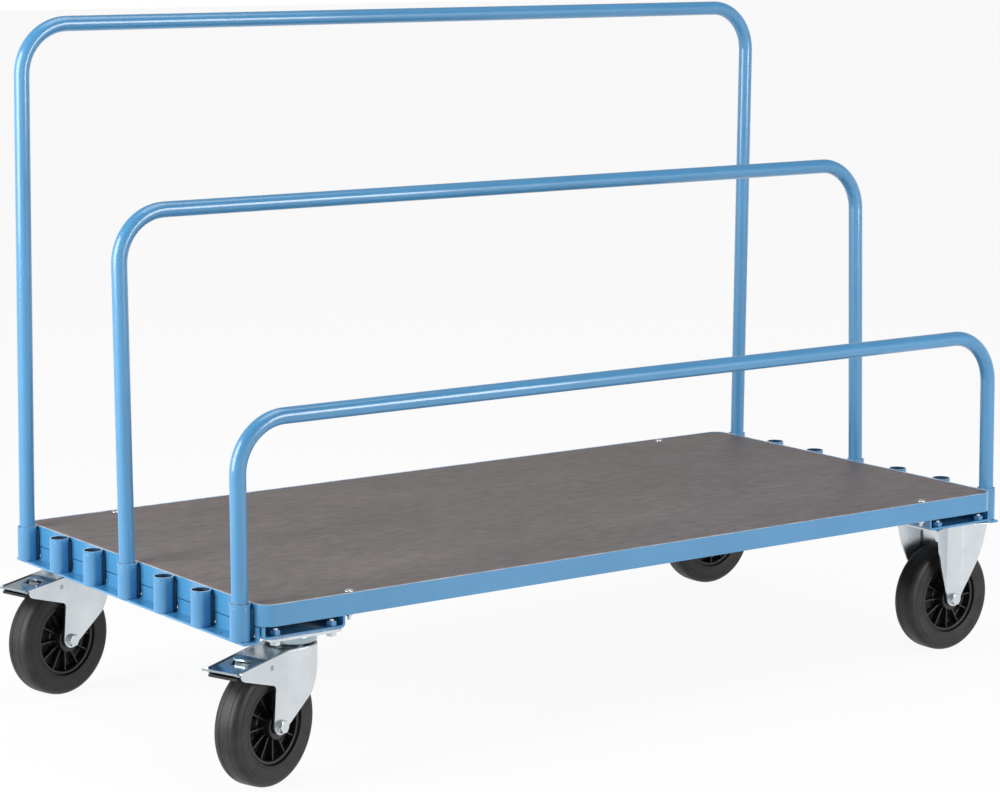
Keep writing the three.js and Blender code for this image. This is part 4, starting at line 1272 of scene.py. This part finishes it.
def tyre():
    half = [
        (0.0653, 0.0232),
        (0.0665, 0.0238),
        (0.0682, 0.0238),
        (0.0688, 0.0232),
        (0.0694, 0.0236),
        (0.0765, 0.0247),
        (0.0848, 0.025),
        (0.0855, 0.0249),
        (0.086, 0.0243),
        (0.0866, 0.0246),
    ]
    for step in range(1, SHOULDER_STEPS + 1):
        t = 0.08 + 0.92 * step / SHOULDER_STEPS
        start, bend, end = (1 - t) ** 2, 2 * t * (1 - t), t ** 2
        radius = SHOULDER_RADIUS * start + WHEEL_RADIUS * (bend + end)
        half.append((radius, WHEEL_HALF * (start + bend) + TREAD_HALF * end))
    half += [(0.0994, 0.0092), (0.0994, 0.0086), (0.1, 0.0082)]
    return smoothed(turned("tyre", mirrored(half), "Y", 96), 30)


def rim():
    half = [
        (HUB_BORE, HUB_HALF),
        (HUB_RADIUS - 0.001, HUB_HALF),
        (HUB_RADIUS, HUB_HALF - 0.001),
        (HUB_RADIUS + 0.0008, RIM_WEB + 0.0025),
        (HUB_RADIUS + 0.0033, RIM_WEB),
        (RIM_WELL - 0.0033, RIM_WEB),
        (RIM_WELL - 0.0008, RIM_WEB + 0.0025),
        (RIM_WELL + 0.0006, RIM_EDGE - 0.0012),
        (RIM_WELL + 0.0018, RIM_EDGE),
        (RIM_RADIUS - 0.0026, RIM_EDGE),
        (RIM_RADIUS - 0.002, RIM_EDGE - 0.0012),
        (RIM_RADIUS, RIM_EDGE - 0.0012),
    ]
    wheel = turned("rim", mirrored(half), "Y", 72)
    depth = RIM_EDGE - 0.003
    rib = mirrored([(RIB_INNER, -depth), (RIB_OUTER, -depth)])
    for number in range(RIB_COUNT):
        flat = outline("rib", [(radius, across, -RIB_THICKNESS / 2) for radius, across in rib])
        blade = pulled(flat, (0, 0, RIB_THICKNESS))
        blade.data.transform(Matrix.Rotation(2 * math.pi * number / RIB_COUNT, 4, "Y"))
        joined(wheel, blade)
    return softened(wheel, 0.0005)


def axle_bolt():
    far = FORK_OUTER + SEAT
    tip = far + 0.013
    shank = shank_section(AXLE_RADIUS, -far, tip, AXLE_TIP)
    head = hex_head("axle_bolt", AXLE_HEX, far, far + 0.0073)
    head.data.transform(Matrix.Rotation(math.pi / 2, 4, "X"))
    face = rod(0.0108, -far - 0.0014, -far, "Y", 40)
    return softened(joined(head, face, turned("shank", shank, "Y", 24)), 0.0004)


def axle_nut():
    """A lock nut with a round collar at its outer end."""
    near = FORK_OUTER + SEAT
    nut = hex_head("axle_nut", AXLE_HEX, near, near + 0.0075)
    collar = [
        (0, near + 0.005),
        (0.0088, near + 0.005),
        (0.0088, near + 0.009),
        (0.0078, near + 0.01),
        (0, near + 0.01),
    ]
    joined(nut, turned("collar", collar, steps=40))
    cut(nut, rod(AXLE_RADIUS + SEAT, near - PAST, near + 0.011))
    nut.data.transform(Matrix.Rotation(-math.pi / 2, 4, "X"))
    return softened(nut, 0.0004)


def wheels():
    patterns = {
        "tyre": (tyre(), RUBBER, "tyre_ring"),
        "rim": (rim(), PLASTIC, "wheel_centre"),
        "axle_bolt": (axle_bolt(), ZINC, "axle_screw"),
        "axle_nut": (axle_nut(), ZINC, "axle_lock_nut"),
    }
    for caster in SWIVEL_CASTERS + FIXED_CASTERS:
        place = Matrix.Translation(JOINTS[f"{caster}_wheel_spin"]["pos_m"])
        stand = place @ Matrix.Rotation(wheel_turn(caster), 4, "Z")
        for node, (pattern, material, name) in patterns.items():
            dressed(copy_of(pattern, f"{caster}_{name}", stand), material, f"{caster}_{node}")
        frame["nodes"][f"{caster}_axle_tube"].material_slots[0].material = ZINC
    cleared(*[pattern for pattern, _, _ in patterns.values()])


# Floor, light and camera

def see_white(owner):
    """One where the camera, a reflection or a clear piece looks, and nought elsewhere."""
    path = shade(owner, "ShaderNodeLightPath", {}).outputs
    seen = worked(owner, "MAXIMUM", path["Is Camera Ray"], path["Is Glossy Ray"])
    return worked(owner, "MAXIMUM", seen, path["Is Transmission Ray"])


def studio_floor():
    bpy.ops.object.select_all(action="DESELECT")
    bpy.ops.mesh.primitive_plane_add(size=60, location=(0, 0, -0.0005))
    floor = bpy.context.object
    floor.name = "studio_floor"
    material = finish("white_floor", {
        "Base Color": (FLOOR_GREY, FLOOR_GREY, FLOOR_GREY, 1),
        "Roughness": 0.9,
        "Specular IOR Level": 0.1,
    })
    nodes = material.node_tree.nodes
    share = worked(material, "MULTIPLY", see_white(material), FLOOR_WHITE)
    glow = shade(material, "ShaderNodeEmission", {}).outputs[0]
    inputs = {0: share, 1: nodes["Principled BSDF"].outputs[0], 2: glow}
    mixed = shade(material, "ShaderNodeMixShader", inputs).outputs[0]
    material.node_tree.links.new(mixed, nodes["Material Output"].inputs["Surface"])
    floor.data.materials.append(material)


def studio_light():
    """White all round and dimmer overhead, with three soft lamps."""
    world = bpy.data.worlds.new("white_studio")
    world.use_nodes = True
    bpy.context.scene.world = world
    inputs = {"Value": see_white(world), "To Min": AMBIENT, "To Max": 1.0}
    level = shade(world, "ShaderNodeMapRange", inputs).outputs["Result"]
    direction = shade(world, "ShaderNodeTexCoord", {}).outputs["Generated"]
    height = shade(world, "ShaderNodeSeparateXYZ", {"Vector": direction}).outputs["Z"]
    inputs = {"Value": height, "From Min": 0.12, "From Max": 0.5, "To Min": 1.0, "To Max": 0.3}
    ceiling = shade(world, "ShaderNodeMapRange", inputs).outputs["Result"]
    background = world.node_tree.nodes["Background"].inputs
    background["Color"].default_value = (1, 1, 1, 1)
    world.node_tree.links.new(worked(world, "MULTIPLY", level, ceiling), background["Strength"])
    for name, place, size, watts in SOFTBOXES:
        bpy.ops.object.light_add(type="AREA", location=place)
        lamp = bpy.context.object
        lamp.name = name
        lamp.data.size = size
        lamp.data.energy = watts
        lamp.rotation_euler = (LIGHT_TARGET - Vector(place)).to_track_quat("-Z", "Y").to_euler()


def studio_camera():
    bpy.ops.object.camera_add(location=MIDDLE + CAMERA_PLACE)
    camera = bpy.context.object
    camera.name = "studio_camera"
    heading = Matrix.Rotation(-CAMERA_YAW, 3, "Z")
    tilt = Matrix.Rotation(math.pi / 2 + CAMERA_PITCH, 3, "X")
    camera.rotation_euler = (heading @ tilt @ Matrix.Rotation(CAMERA_ROLL, 3, "Z")).to_euler()
    camera.data.lens = CAMERA_LENS
    camera.data.sensor_width = 36
    camera.data.shift_y = CAMERA_SHIFT
    camera.data.clip_end = 200
    bpy.context.scene.camera = camera


edge_frame()
deck()
deck_bolts()
socket_rails()
sockets()
for hoop_name, socket_number in HOOPS.items():
    hoop(hoop_name, socket_number)
caster_channels()
caster_bolts()
swivel_plates()
swivel_forks()
brake_pedals()
fixed_forks()
wheels()
studio_floor()
studio_light()
studio_camera()
bpy.context.scene.view_settings.view_transform = "Standard"
